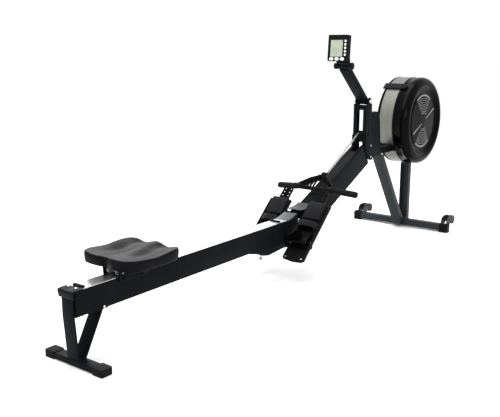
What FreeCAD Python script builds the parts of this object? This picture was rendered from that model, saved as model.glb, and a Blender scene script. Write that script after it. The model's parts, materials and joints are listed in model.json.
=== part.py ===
"""Air rowing machine: folding rail, sliding seat, chain handle and fan flywheel.

Millimetres. +X runs forward from the seat to the flywheel, +Y is the rower's left, +Z is up.
The origin is on the floor, under the middle of the machine.
"""
import FreeCAD, Part
import math
import os
import re
import Sketcher

V = FreeCAD.Vector
DOC = FreeCAD.newDocument("rowing_machine")
NODES = []

SIZES = {
    # rail, a closed box section that carries the seat
    "rail_rear": -1289.2, "rail_front": -87.4, "rail_bottom": 167.5, "rail_top": 251.5,
    "rail_half": 33.0, "rail_wall": 3.0, "rail_round": 5.0,
    "track_half": 29.0, "track_thick": 2.0, "track_rear": -1257.4, "track_front": -154.4,
    "pivot_x": -77.4, "pivot_z": 240.0, "pivot_radius": 6.0, "running_gap": 0.05,
    "lock_x": -302.4, "lock_radius": 5.0, "lock_hole": 6.0, "lock_travel": 12.0,
    # rear leg and its crossbar
    "strut_half": 26.0, "strut_thick": 6.0, "bar_back": -1287.4, "bar_front": -1247.4,
    "bar_half": 133.0, "bar_low": 2.0, "bar_high": 22.0, "cap_length": 46.0, "cap_top": 24.0,
    "cap_half": 137.0, "cap_wall": 1.8,
    # seat
    "seat_rear": -1142.4, "seat_front": -909.4, "seat_half": 127.0,
    "pad_low": 283.5, "pad_high": 324.0, "pad_round": 24.0,
    "roller_radius": 12.0, "roller_half": 5.5, "roller_rear": -1099.4, "roller_front": -999.4,
    "plate_low": 279.5, "plate_high": 283.0, "cheek_in": 36.0, "cheek_out": 39.0,
    "cheek_low": 234.0, "carriage_rear": -1117.4, "carriage_front": -981.4, "axle_radius": 4.0,
    "keeper_z": 244.0,
    # boom, a box section that climbs from the hinge to the flywheel
    "boom_pitch": 24.8, "boom_x": 214.1, "boom_z": 373.0, "boom_low": -285.0, "boom_high": 318.0,
    "boom_half": 34.5, "boom_deep": 108.0, "boom_wall": 3.0,
    "cover_half": 36.0, "hinge_in": 34.6, "hinge_out": 38.6,
    # footboards, in their own slanted frame: along the slope, across and off the board
    "board_pitch": 42.6, "board_x": -219.4, "board_z": 108.0, "board_long": 294.0,
    "board_in": 48.0, "board_out": 157.0, "board_thick": 5.0, "rim_high": 8.0, "rim_wide": 6.0,
    "slider_low": 62.0, "slider_high": 366.0, "slider_mid": 93.0, "slider_half": 27.0,
    "slider_thick": 3.0, "slider_hole": 3.2, "slider_pitch": 18.0,
    "foot_bar_x": -140.1, "foot_bar_z": 152.0, "foot_bar_radius": 10.0,
    # front leg
    "front_bar_back": 988.6, "front_bar_front": 1026.6, "front_bar_low": 8.0,
    "front_bar_high": 42.0, "front_bar_half": 276.0, "front_cap_half": 281.0,
    "front_cap_long": 46.0, "front_cap_top": 45.0,
    "castor_x": 1116.6, "castor_z": 48.0, "castor_mid": 252.0, "castor_radius": 23.0,
    "castor_half": 12.0, "castor_bore": 4.0, "channel_half": 25.0, "strut_wide": 52.0,
    # flywheel housing, about the axle
    "wheel_x": 1070.4, "wheel_z": 579.8, "cage_radius": 231.8, "cage_near": -92.0,
    "cage_far": 94.0, "cage_round": 34.0, "band_near": -9.0, "band_far": 66.0,
    "fan_radius": 208.0, "fan_outer": 54.0, "fan_inner": 10.0, "louvre_pitch": 15.0,
    "damper_rest": 208.0, "damper_y": -50.0, "bridge_upper": 127.0, "bridge_lower": 214.0, "bridge_high": 7.0,
    "spindle_radius": 8.0, "sprocket_radius": 28.3, "bearing_radius": 17.0,
    # plates and posts at the top of the boom
    "plate_in": 35.4, "plate_out": 38.4, "plate_rear": 494.6, "plate_front": 572.6,
    "post_rear": 506.6, "post_front": 562.6, "post_low": 446.0, "post_top": 702.0,
    "post_in": 32.0, "post_out": 35.2, "flange_in": 17.0, "arm_x": 535.6, "arm_z": 714.0,
    "arm_pitch": 139.020, "arm_long": 262.275, "arm_half": 26.0, "arm_thick": 24.0,
    # box beam from the plates to the lower bridge of the housing
    "riser_low": -20.0, "riser_high": 10.0, "beam_low": -9.0, "beam_high": 35.0, "beam_bottom": -146.0, "beam_top": -114.0,
    # monitor
    "tilt_x": 337.6, "tilt_z": 886.0, "monitor_lean": 4.0, "monitor_half": 52.0,
    "monitor_low": 20.0, "monitor_high": 138.0, "monitor_deep": 26.0, "monitor_back": 30.0,
    "monitor_ahead": 40.0, "monitor_aside": 14.0,
    # handle and chain
    "grip_in_x": 105.6, "grip_in_z": 350.0, "grip_out_x": 125.6, "grip_out_z": 339.0,
    "grip_in": 99.0, "grip_out": 210.0, "grip_radius": 14.5, "handle_core": 9.0,
    "apex_x": 193.6, "apex_z": 399.0, "guide_x": 521.6, "guide_z": 544.0,
    "guide_radius": 22.0, "chain_half": 4.0, "chain_high": 8.0,
    # return pulley and shock cord, in the boom's frame
    "return_along": -200.0, "return_down": -54.0, "cord_turn": 18.5, "cord_radius": 3.0,
}


# ---------------------------------------------------------------- sheet and small helpers

def make_sheet():
    """Put every driving size in the spreadsheet under its own name."""
    sheet = DOC.addObject("Spreadsheet::Sheet", "Sizes")
    for row, (name, value) in enumerate(SIZES.items(), 1):
        sheet.set(f"A{row}", name)
        sheet.set(f"B{row}", str(value))
        sheet.setAlias(f"B{row}", name)
    DOC.recompute()
    return sheet


SHEET = make_sheet()
WORDS = re.compile(r"\b(" + "|".join(sorted(SIZES, key=len, reverse=True)) + r")\b")


def cell(name):
    """A size read back from the spreadsheet."""
    return float(SHEET.get(name))


def bind(thing, prop, text):
    """Tie a property to an expression in the sheet's names."""
    thing.setExpression(prop, WORDS.sub(r"Sizes.\1", str(text)))


def bind_base(thing, place):
    for axis, text in zip("xyz", place):
        bind(thing, f"Placement.Base.{axis}", text)


def new_name(word):
    return "".join(part.capitalize() for part in word.split("_"))


def box(x, y, z):
    """A box between two expressions on each axis."""
    thing = DOC.addObject("Part::Box", "Block")
    for prop, (low, high) in zip(("Length", "Width", "Height"), (x, y, z)):
        bind(thing, prop, f"({high}) - ({low})")
    bind_base(thing, (x[0], y[0], z[0]))
    return thing


TURNS = {
    "X": FreeCAD.Rotation(V(0, 1, 0), 90),
    "Y": FreeCAD.Rotation(V(1, 0, 0), -90),
    "Z": FreeCAD.Rotation(),
}


def rod(radius, length, at, axis="Z"):
    """A cylinder from a point, along +X, +Y or +Z."""
    thing = DOC.addObject("Part::Cylinder", "Rod")
    bind(thing, "Radius", radius)
    bind(thing, "Height", length)
    thing.Placement = FreeCAD.Placement(V(), TURNS[axis])
    bind_base(thing, at)
    return thing


def cross_rod(radius, half, x, z):
    """A cylinder across the machine, centred on the middle plane."""
    return rod(radius, f"2 * ({half})", (x, f"-({half})", z), "Y")


def fuse(*things):
    thing = DOC.addObject("Part::MultiFuse", "Joined")
    thing.Shapes = list(things)
    thing.Refine = True
    return thing


def cut(base, *tools):
    thing = DOC.addObject("Part::Cut", "Cut")
    thing.Base = base
    thing.Tool = tools[0] if len(tools) == 1 else fuse(*tools)
    return thing


def common(one, other):
    thing = DOC.addObject("Part::Common", "Shared")
    thing.Base = one
    thing.Tool = other
    return thing


def group(*things):
    """Separate solids that share one node."""
    thing = DOC.addObject("Part::Compound", "Group")
    thing.Links = list(things)
    return thing


def mirrored(source):
    """The same piece on the other side of the middle plane."""
    thing = DOC.addObject("Part::Mirroring", "Mirror")
    thing.Source = source
    thing.Normal = V(0, 1, 0)
    return thing


def both_sides(source):
    return group(source, mirrored(source))


def fixed(shape):
    """A shape made directly, where neither sketches nor primitives fit."""
    thing = DOC.addObject("Part::Feature", "Direct")
    thing.Shape = shape
    return thing


def along(axis):
    """Chooses straight edges parallel to an axis."""
    def test(edge):
        if not isinstance(edge.Curve, Part.Line):
            return False
        return abs(abs(edge.tangentAt(edge.FirstParameter).dot(axis)) - 1) < 1e-6
    return test


def softened(base, radius, test):
    """Round the chosen edges of a primitive or boolean."""
    DOC.recompute()
    thing = DOC.addObject("Part::Fillet", "Soft")
    thing.Base = base
    picks = [i for i, edge in enumerate(base.Shape.Edges, 1) if test(edge)]
    thing.Edges = [(i, radius, radius) for i in picks]
    return thing


def has_bound_place(thing):
    return any(rule[0].lstrip(".").startswith("Placement") for rule in thing.ExpressionEngine)


def node(label, thing, frame=None):
    """Name a finished sub-part and stand it in its frame."""
    if frame is not None:
        thing = group(thing) if has_bound_place(thing) else thing
        thing.Placement = frame
    thing.Label = label
    NODES.append(thing)
    return thing


def slanted(x, z, pitch):
    """A frame whose X axis climbs by the pitch, at a point of the middle plane."""
    return FreeCAD.Placement(V(x, 0, z), FreeCAD.Rotation(V(0, 1, 0), -pitch))


BOOM = slanted(cell("boom_x"), cell("boom_z"), cell("boom_pitch"))
BOARD = slanted(cell("board_x"), cell("board_z"), cell("board_pitch"))
ARM = slanted(cell("arm_x"), cell("arm_z"), cell("arm_pitch"))
MONITOR = slanted(cell("tilt_x"), cell("tilt_z"), -cell("monitor_lean"))
CASE = MONITOR.multiply(FreeCAD.Placement(V(-cell("monitor_ahead"), cell("monitor_aside"), 0),
                                          FreeCAD.Rotation()))
WHEEL = FreeCAD.Placement(V(cell("wheel_x"), 0, cell("wheel_z")), FreeCAD.Rotation())


# ---------------------------------------------------------------- sketches and bodies

def origin_plane(body, role):
    return next(item for item in body.Origin.OriginFeatures if item.Role == role)


def sketch_on(body, role):
    sketch = body.newObject("Sketcher::SketchObject", "Outline")
    sketch.AttachmentSupport = (origin_plane(body, role), [""])
    sketch.MapMode = "FlatFace"
    return sketch


def value(text):
    """What an expression is worth, for a sketch's first guess."""
    if not isinstance(text, str):
        return float(text)
    probe = SHEET.evalExpression(WORDS.sub(r"Sizes.\1", text))
    return float(getattr(probe, "Value", probe))


def add_loop(sketch, points):
    """A closed run of straight lines through the points, each point held."""
    spots = [V(value(x), value(y), 0) for x, y in points]
    first = sketch.GeometryCount
    for start, end in zip(spots, spots[1:] + spots[:1]):
        sketch.addGeometry(Part.LineSegment(start, end), False)
    count = len(spots)
    for i in range(count):
        nxt = first + (i + 1) % count
        sketch.addConstraint(Sketcher.Constraint("Coincident", first + i, 2, nxt, 1))
    for i, (x, y) in enumerate(points):
        for kind, text in (("DistanceX", x), ("DistanceY", y)):
            guess = value(text)
            rule = Sketcher.Constraint(kind, -1, 1, first + i, 1, guess)
            index = sketch.addConstraint(rule)
            if isinstance(text, str):
                bind(sketch, f"Constraints[{index}]", text)


def add_circle(sketch, x, y, radius):
    spot = V(value(x), value(y), 0)
    index = sketch.addGeometry(Part.Circle(spot, V(0, 0, 1), value(radius)), False)
    for kind, text in (("DistanceX", x), ("DistanceY", y)):
        rule = sketch.addConstraint(Sketcher.Constraint(kind, -1, 1, index, 3, value(text)))
        if isinstance(text, str):
            bind(sketch, f"Constraints[{rule}]", text)
    rule = sketch.addConstraint(Sketcher.Constraint("Radius", index, value(radius)))
    bind(sketch, f"Constraints[{rule}]", radius)


def padded(role, outline, depth, holes=(), loops=(), corner=None, corner_axis=None):
    """A body padded both ways from one of its planes, with holes and rounded corners."""
    body = DOC.addObject("PartDesign::Body", "Piece")
    sketch = sketch_on(body, role)
    add_loop(sketch, outline)
    for loop in loops:
        add_loop(sketch, loop)
    for x, y, radius in holes:
        add_circle(sketch, x, y, radius)
    pad = body.newObject("PartDesign::Pad", "Pad")
    pad.Profile = sketch
    bind(pad, "Length", depth)
    pad.Midplane = True
    DOC.recompute()
    if corner:
        picks = [f"Edge{i}" for i, edge in enumerate(pad.Shape.Edges, 1)
                 if along(corner_axis)(edge)]
        soft = body.newObject("PartDesign::Fillet", "Rounded")
        soft.Base = (pad, picks)
        bind(soft, "Radius", corner)
    return body


def moved(body, place):
    bind_base(body, place)
    return body


def turned(role, outline, angle=360.0):
    """A body turned about the local Y axis from a half outline in the XY plane."""
    body = DOC.addObject("PartDesign::Body", "Turned")
    sketch = sketch_on(body, role)
    add_loop(sketch, outline)
    spin = body.newObject("PartDesign::Revolution", "Turn")
    spin.Profile = sketch
    spin.ReferenceAxis = (sketch, ["V_Axis"])
    spin.Angle = angle
    return body


# ---------------------------------------------------------------- rail and rear leg

def rail_extrusion():
    """Closed box section with the hinge holes at its front and the lock hole below."""
    full = box(("rail_rear", "rail_front"), ("-rail_half", "rail_half"), ("rail_bottom", "rail_top"))
    tube = softened(full, cell("rail_round"), along(V(1, 0, 0)))
    inside = box(("rail_rear - 1", "rail_front + 1"),
                 ("rail_wall - rail_half", "rail_half - rail_wall"),
                 ("rail_bottom + rail_wall", "rail_top - rail_wall"))
    hinge = cross_rod("pivot_radius + running_gap", "rail_half + 1", "pivot_x", "pivot_z")
    ears = box(("rail_front - 1", "pivot_x + 10"), ("-rail_half", "rail_half"),
               ("pivot_z - 10", "rail_top - 1.5"))
    gap = box(("rail_front - 2", "pivot_x + 11"),
              ("rail_wall - rail_half", "rail_half - rail_wall"),
              ("pivot_z - 11", "rail_top + 1"))
    lock = rod("lock_hole", "rail_wall + 2", ("lock_x", "0", "rail_bottom - 1"))
    node("rail_extrusion", cut(fuse(tube, cut(ears, gap)), inside, hinge, lock))


def rail_track():
    """Stainless running strip on top of the rail."""
    strip = box(("track_rear", "track_front"), ("-track_half", "track_half"),
                ("rail_top + 0.1", "rail_top + track_thick"))
    node("rail_track", strip)


def rail_end_cap():
    """Moulded cap over the rear end: a saddle top with a short apron behind."""
    body = padded("XZ_Plane", [
        ("rail_rear - 12", "rail_top + 3"), ("rail_rear - 13", "rail_top - 6"),
        ("rail_rear - 9", "rail_top - 24"), ("rail_rear - 6.6", "rail_top - 24"),
        ("rail_rear - 6.6", "rail_top + 0.1"), ("track_rear - 1", "rail_top + 0.1"),
        ("track_rear - 2", "rail_top + 4"), ("rail_rear + 8", "rail_top + 5")],
        "2 * cover_half")
    saddle = rod("86", "80", ("rail_rear - 40", "0", "rail_top + 88.5"), "X")
    node("rail_end_cap", cut(body, saddle))


def seat_stops():
    """Rubber bumpers at the two ends of the track."""
    stops = [softened(box((f"{x}", f"{x} + 12"), ("-24", "24"),
                          ("rail_top + track_thick + 0.1", "rail_top + 8")), 3.0,
                      along(V(0, 0, 1)))
             for x in ("track_rear + 4", "track_front - 52.5")]
    node("seat_stops", group(*stops))


def rail_nose_cover():
    """Bright cover that rises from the rail towards the hinge."""
    body = padded("XZ_Plane", [
        ("pivot_x - 76", "rail_top + 0.2"), ("pivot_x - 4", "rail_top + 0.2"),
        ("pivot_x - 4", "rail_top + 20"), ("pivot_x - 12", "rail_top + 18.6"),
        ("pivot_x - 34", "rail_top + 11"), ("pivot_x - 56", "rail_top + 4.8"),
        ("pivot_x - 76", "rail_top + 1.8")],
        "2 * (rail_half - 0.4)")
    under = box(("pivot_x - 60", "pivot_x - 11"), ("4 - rail_half", "rail_half - 4"),
                ("rail_top", "rail_top + 4"))
    node("rail_nose_cover", cut(body, under))


def rear_leg():
    """Two flat struts in a V on a crossbar, welded."""
    tall = padded("XZ_Plane", [
        ("rail_rear - strut_thick - 0.2", "rail_top - 1"), ("rail_rear - 0.2", "rail_top - 1"),
        ("rail_rear - 0.2", "rail_bottom"), ("bar_back + 8", "bar_high"),
        ("bar_back + 2", "bar_high"), ("rail_rear - strut_thick - 0.2", "rail_bottom")],
        "2 * strut_half")
    brace = padded("XZ_Plane", [
        ("bar_back + 27", "bar_high"), ("bar_back + 34", "bar_high"),
        ("bar_back + 111", "rail_bottom - 4"), ("bar_back + 131", "rail_bottom - 4"),
        ("bar_back + 131", "rail_bottom - 0.1"), ("bar_back + 84", "rail_bottom - 0.1"),
        ("bar_back + 84", "rail_bottom - 4"), ("bar_back + 104", "rail_bottom - 4")],
        "2 * strut_half")
    bar = softened(box(("bar_back", "bar_front"), ("-bar_half", "bar_half"),
                       ("bar_low", "bar_high")), 3.0, along(V(0, 1, 0)))
    node("rear_leg", fuse(tall, brace, bar))


def foot_cap(back, front, half, long, top, bar_back, bar_front, bar_low, bar_high, bar_half):
    """A rubber cap over the left end of a crossbar, flat on the floor."""
    block = box((back, front), (f"{half} - {long}", half), ("0", top))
    block = softened(block, 5.0, along(V(0, 0, 1)))
    socket = box((bar_back, bar_front), (f"{half} - {long} - 1", bar_half), (bar_low, bar_high))
    return cut(block, socket)


def rear_foot_caps():
    cap = foot_cap("bar_back - cap_wall - 0.2", "bar_front + cap_wall + 0.2", "cap_half",
                   "cap_length", "cap_top + 0.2", "bar_back - 0.1", "bar_front + 0.1",
                   "bar_low - 0.1", "bar_high + 0.1", "bar_half + 0.1")
    node("rear_foot_caps", both_sides(cap))


def rail_bolts():
    """Two screws in the end cap and the pair that clamps the brace."""
    screws = [rod("4", "1.8", ("rail_rear + 16", y, "rail_top + 5.1"), "Z") for y in ("18", "-18")]
    brace = [rod("4", "3.2", ("bar_back + 108", y, "rail_bottom + 7"), "Y")
             for y in ("rail_half + 0.1", "-rail_half - 3.3")]
    node("rail_bolts", group(*screws, *brace))


# ---------------------------------------------------------------- seat

def seat_pad():
    """Closed solid of the moulded seat pad."""
    slab = box(("seat_rear", "seat_front"), ("-seat_half", "seat_half"), ("pad_low", "pad_high"))
    slab = softened(slab, cell("pad_round"), along(V(0, 0, 1)))
    hollow = rod("150", "2 * seat_half + 20", ("(seat_rear + seat_front) / 2 - 8",
                                               "-seat_half - 10", "pad_high + 141"), "Y")
    node("seat_pad", cut(slab, hollow))


def seat_carriage():
    """Steel plate under the pad with a cheek down each side of the rail."""
    plate = box(("carriage_rear", "carriage_front"), ("-cheek_out", "cheek_out"),
                ("plate_low", "plate_high"))
    sides = [padded("XZ_Plane", [
        ("carriage_rear", "plate_high"), ("carriage_rear + 4", "cheek_low + 8"),
        ("carriage_rear + 12", "cheek_low"), ("carriage_front - 12", "cheek_low"),
        ("carriage_front - 4", "cheek_low + 8"), ("carriage_front", "plate_high")],
        "cheek_out - cheek_in") for _ in range(2)]
    moved(sides[0], ("0", "(cheek_in + cheek_out) / 2", "0"))
    moved(sides[1], ("0", "-(cheek_in + cheek_out) / 2", "0"))
    frame = fuse(plate, *sides)
    bores = [cross_rod("axle_radius + running_gap", "cheek_out + 1", x,
                       "rail_top + track_thick + roller_radius + 0.3")
             for x in ("roller_rear", "roller_front")]
    keepers = [rod("6", "3.6", (x, y, "keeper_z"), "Y")
               for x in ("roller_rear + 6", "roller_front - 14")
               for y in ("cheek_out - 0.5", "-cheek_out - 3.1")]
    node("seat_carriage", fuse(cut(frame, *bores), *keepers))


def seat_rollers(label, x):
    """An axle across the rail with two wheels that roll on the track."""
    height = "rail_top + track_thick + roller_radius + 0.3"
    axle = cross_rod("axle_radius", "cheek_out + 1.5", x, height)
    wheels = [rod("roller_radius", "2 * roller_half", (x, y, height), "Y")
              for y in ("14", "-14 - 2 * roller_half")]
    node(label, fuse(axle, *wheels))


# ---------------------------------------------------------------- boom, hinge and lock

def main_boom():
    """Box section boom, closed at its lower end."""
    full = box(("boom_low", "boom_high"), ("-boom_half", "boom_half"), ("-boom_deep", "0"))
    tube = softened(full, 6.0, along(V(1, 0, 0)))
    inside = box(("boom_low + boom_wall", "boom_high + 1"),
                 ("boom_wall - boom_half", "boom_half - boom_wall"),
                 ("boom_wall - boom_deep", "-boom_wall"))
    slot = box(("boom_high - 62", "boom_high + 1"), ("-16", "16"), ("-boom_wall - 1", "1"))
    node("main_boom", cut(tube, inside, slot), BOOM)


def hinge_cheeks():
    """A welded plate each side of the boom's lower end that carries the hinge bolt."""
    side = padded("XZ_Plane", [
        ("foot_bar_x - 20", "foot_bar_z + 6"), ("pivot_x - 92", "pivot_z - 56"),
        ("pivot_x - 92", "pivot_z + 6"), ("pivot_x - 84", "pivot_z + 14"),
        ("pivot_x + 22", "pivot_z + 14"), ("pivot_x + 62", "pivot_z + 32"),
        ("pivot_x + 112", "pivot_z + 50"), ("pivot_x + 150", "pivot_z - 28"),
        ("pivot_x + 92", "pivot_z - 84"), ("pivot_x + 10", "foot_bar_z - 20"),
        ("foot_bar_x + 12", "foot_bar_z - 17"), ("foot_bar_x - 14", "foot_bar_z - 14")],
        "hinge_out - hinge_in", holes=[
            ("pivot_x", "pivot_z", "pivot_radius + running_gap"),
            ("foot_bar_x", "foot_bar_z", "foot_bar_radius + 0.1")],
        corner="6", corner_axis=V(0, 1, 0))
    moved(side, ("0", "(hinge_in + hinge_out) / 2", "0"))
    node("hinge_cheeks", both_sides(side))


def under_bracket():
    """Open channel under the rail that takes the lock pin."""
    outline = [
        ("lock_x - 106", "rail_bottom - 4"), ("lock_x - 106", "rail_bottom - 0.8"),
        ("pivot_x - 14", "rail_bottom - 0.8"), ("pivot_x + 60", "rail_bottom - 22"),
        ("pivot_x + 36", "foot_bar_z - 16"), ("foot_bar_x - 12", "foot_bar_z - 16"),
        ("foot_bar_x - 40", "foot_bar_z - 13"), ("lock_x + 17", "rail_bottom - 36.5"),
        ("lock_x - 20", "rail_bottom - 30"), ("lock_x - 66", "rail_bottom - 12")]
    shell = padded("XZ_Plane", outline, "60")
    hollow = [
        ("lock_x - 98", "rail_bottom + 4"), ("pivot_x + 60", "rail_bottom + 4"),
        ("pivot_x + 33", "foot_bar_z - 13"), ("foot_bar_x - 12", "foot_bar_z - 13"),
        ("foot_bar_x - 40", "foot_bar_z - 10"), ("lock_x + 17", "rail_bottom - 33.5"),
        ("lock_x - 20", "rail_bottom - 27"), ("lock_x - 65", "rail_bottom - 9"),
        ("lock_x - 98", "rail_bottom - 2.4")]
    inner = padded("XZ_Plane", hollow, "54")
    floor = rod("lock_radius + running_gap", "60", ("lock_x", "0", "pivot_z - 140"))
    bar = cross_rod("foot_bar_radius + 0.1", "40", "foot_bar_x", "foot_bar_z")
    node("under_bracket", cut(shell, inner, floor, bar))


def hinge_front_cover():
    """Bright cover on the boom side of the hinge."""
    body = padded("XZ_Plane", [
        ("pivot_x + 17", "pivot_z + 43"), ("pivot_x + 17", "pivot_z + 40.5"),
        ("pivot_x + 50", "pivot_z + 39.7"), ("pivot_x + 82", "pivot_z + 43.4"),
        ("pivot_x + 104", "pivot_z + 50.8"), ("pivot_x + 108", "pivot_z + 54"),
        ("pivot_x + 80", "pivot_z + 46"), ("pivot_x + 50", "pivot_z + 42.2")],
        "2 * cover_half")
    node("hinge_front_cover", body)


def lock_pin():
    """Pull pin with a round knob below, stored just out of its hole in the rail."""
    stem = rod("lock_radius", "47.5", ("lock_x", "0", "rail_bottom - 48.5"))
    knob = softened(rod("9", "10", ("lock_x", "0", "rail_bottom - 58.5")), 2.5,
                    lambda edge: isinstance(edge.Curve, Part.Circle))
    node("lock_pin", fuse(stem, knob))


# ---------------------------------------------------------------- foot stretchers

def footboard(side):
    """Flat board with a raised outer rim, in the board frame."""
    plate = padded("XY_Plane", [
        ("0", "board_in + 8"), ("8", "board_in"), ("board_long - 4", "board_in"),
        ("board_long", "board_in + 4"), ("board_long", "board_out - 6"),
        ("board_long - 6", "board_out"), ("6", "board_out"), ("-3", "board_out - 12"),
        ("-6", "(board_in + board_out) / 2")], "board_thick")
    moved(plate, ("0", "0", "-board_thick / 2"))
    rim = box(("8", "board_long - 8"), ("board_out - rim_wide", "board_out"), ("-1", "rim_high"))
    rim = softened(rim, 2.4, along(V(1, 0, 0)))
    whole = fuse(plate, rim)
    if side == "right":
        whole = mirrored(whole)
    node(f"footboard_{side}", whole, BOARD)


def heel_cup(side):
    """Sliding sole plate with a heel cup below and a holed tongue above."""
    sole = padded("XY_Plane", [
        ("slider_low", "slider_mid - 40"), ("slider_low + 70", "slider_mid - 40"),
        ("slider_low + 110", "slider_mid - slider_half"),
        ("slider_high - 14", "slider_mid - slider_half"),
        ("slider_high", "slider_mid - slider_half + 12"),
        ("slider_high", "slider_mid + slider_half - 12"),
        ("slider_high - 14", "slider_mid + slider_half"),
        ("slider_low + 110", "slider_mid + slider_half"),
        ("slider_low + 70", "slider_mid + 46"), ("slider_low", "slider_mid + 46")],
        "slider_thick", holes=[
            (f"slider_high - 16 - {k} * slider_pitch", f"slider_mid + {y}", "slider_hole")
            for k in range(4) for y in (-14, 14)])
    moved(sole, ("0", "0", "slider_thick / 2 + 0.3"))
    outer = box(("slider_low", "slider_low + 74"), ("slider_mid - 40", "slider_mid + 46"),
                ("slider_thick + 0.2", "44"))
    outer = softened(outer, 24.0, lambda edge: along(V(0, 0, 1))(edge)
                     and edge.CenterOfMass.x < cell("slider_low") + 1)
    ramp = padded("XZ_Plane", [
        ("slider_low - 1", "0"), ("slider_low + 80", "0"), ("slider_low + 80", "12"),
        ("slider_low + 60", "18"), ("slider_low + 20", "44.5"), ("slider_low - 1", "44.5")],
        "400")
    room = box(("slider_low + 5", "slider_low + 80"), ("slider_mid - 35", "slider_mid + 41"),
               ("slider_thick", "60"))
    room = softened(room, 19.0, lambda edge: along(V(0, 0, 1))(edge)
                    and edge.CenterOfMass.x < cell("slider_low") + 6)
    whole = fuse(sole, cut(common(outer, ramp), room))
    if side == "right":
        whole = mirrored(whole)
    node(f"heel_cup_{side}", whole, BOARD)


def toe_straps():
    """A toe flap and a strap over each sole plate, closed down to the board's edges."""
    flap = padded("XZ_Plane", [
        ("board_long - 88", "5"), ("board_long - 4", "5"), ("board_long - 2", "17"),
        ("board_long - 26", "21"), ("board_long - 88", "16")], "82")
    hollow = padded("XZ_Plane", [
        ("board_long - 89", "4"), ("board_long - 8", "4"), ("board_long - 8", "14"),
        ("board_long - 26", "18"), ("board_long - 89", "13")], "76")
    foot = box(("board_long - 88", "board_long - 4"), ("-41", "41"), ("0.3", "6"))
    gap = box(("board_long - 89", "board_long + 1"), ("-36.5", "36.5"), ("0", "6.1"))
    cap = cut(fuse(flap, cut(foot, gap)), hollow)
    band = padded("YZ_Plane", [
        ("-50", "0.3"), ("-45", "15"), ("-28", "27"), ("18", "28"), ("42", "17"), ("51", "0.3"),
        ("49", "0.3"), ("40.5", "15.5"), ("17.5", "26"), ("-27.5", "25"), ("-43", "13.6"),
        ("-48", "0.3")], "30")
    moved(band, ("board_long - 118", "0", "0"))
    pair = group(cap, band)
    bind_base(pair, ("0", "slider_mid + 4", "0"))
    node("toe_straps", group(pair, mirrored(pair)), BOARD)


def foot_crossbar():
    """Round bar through the hinge plates, saddles under the boards and two upper brackets."""
    bar = cross_rod("foot_bar_radius", "board_out - 12", "foot_bar_x", "foot_bar_z")
    blocks = []
    for y in ("board_in + 6", "board_out - 30"):
        blocks.append(box(("77", "99"), (y, f"{y} + 18"), ("-22", "-board_thick - 0.1")))
    blocks.append(box(("212", "240"), ("hinge_out + 0.1", "board_out - 20"),
                      ("-26", "-board_thick - 0.1")))
    left = group(*blocks)
    pads = group(left, mirrored(left))
    pads.Placement = BOARD
    node("foot_crossbar", fuse(bar, pads))


# ---------------------------------------------------------------- front leg and castors

def front_leg():
    """Slanted rear strut and upright front channel on the front crossbar."""
    rear = padded("XZ_Plane", [
        ("front_bar_back - 34", "front_bar_low + 10"), ("front_bar_back - 0.2", "front_bar_low"),
        ("front_bar_back - 0.2", "front_bar_high + 0.2"),
        ("front_bar_back + 4", "front_bar_high + 0.2"),
        ("wheel_x - 346", "wheel_z + beam_bottom - 0.2"),
        ("wheel_x - 382", "wheel_z + beam_bottom - 0.2"),
        ("front_bar_back - 34", "front_bar_high + 2")],
        "strut_wide")
    node("front_leg_rear_strut", rear)
    top = "wheel_z - cage_radius - 8"
    web = box(("front_bar_front + 36", "front_bar_front + 41"), ("-channel_half", "channel_half"),
              ("front_bar_high - 4", top))
    flanges = [box(("front_bar_front + 9", "front_bar_front + 38"), (low, f"{low} + 4"),
                   ("front_bar_high - 4", top)) for low in ("-channel_half", "channel_half - 4")]
    stub = box(("front_bar_front + 0.2", "front_bar_front + 41"), ("-channel_half", "channel_half"),
               ("front_bar_low + 6", "front_bar_high + 6"))
    saddle = box(("front_bar_front + 9", "front_bar_front + 41"), ("-channel_half", "channel_half"),
                 (f"{top} - 0.1", "wheel_z - cage_radius + 6"))
    bowl = cross_rod("cage_radius + 0.4", "41", "wheel_x", "wheel_z")
    node("front_leg_front_strut", cut(fuse(web, *flanges, stub, saddle), bowl))


def front_crossbar():
    """Wide bar on the floor with a fork near each end for the castors."""
    bar = softened(box(("front_bar_back", "front_bar_front"),
                       ("-front_bar_half", "front_bar_half"),
                       ("front_bar_low", "front_bar_high")), 5.0, along(V(0, 1, 0)))
    arms = []
    for y in ("castor_mid - castor_half - 5", "castor_mid + castor_half + 1"):
        arm = padded("XZ_Plane", [
            ("front_bar_front - 12", "front_bar_high - 4"), ("front_bar_front - 6", "castor_z + 18"),
            ("front_bar_front + 12", "castor_z + 30"), ("castor_x - 34", "castor_z + 31"),
            ("castor_x - 4", "castor_z + 24"), ("castor_x + 9", "castor_z + 8"),
            ("castor_x + 8", "castor_z - 8"), ("castor_x - 10", "castor_z - 9"),
            ("castor_x - 40", "castor_z - 4"), ("front_bar_front + 8", "front_bar_low + 8"),
            ("front_bar_front - 6", "front_bar_low + 8")],
            "4", corner="3", corner_axis=V(0, 1, 0))
        moved(arm, ("0", f"{y} + 2", "0"))
        arms.append(arm)
    axle = rod("castor_bore", "2 * castor_half + 14",
               ("castor_x", "castor_mid - castor_half - 7", "castor_z"), "Y")
    fork = fuse(*arms, axle)
    node("front_crossbar", fuse(bar, fork, mirrored(fork)))


def front_foot_caps():
    cap = foot_cap("front_bar_back - 2", "front_bar_front + 2", "front_cap_half",
                   "front_cap_long", "front_cap_top", "front_bar_back - 0.1",
                   "front_bar_front + 0.1", "front_bar_low - 0.1", "front_bar_high + 0.1",
                   "front_bar_half + 0.1")
    room = box(("front_bar_front - 13", "front_bar_front + 20"),
               ("castor_mid - castor_half - 8", "castor_mid + castor_half + 8"),
               ("front_bar_low + 8", "castor_z + 34"))
    node("front_foot_caps", both_sides(cut(cap, room)))


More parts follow.
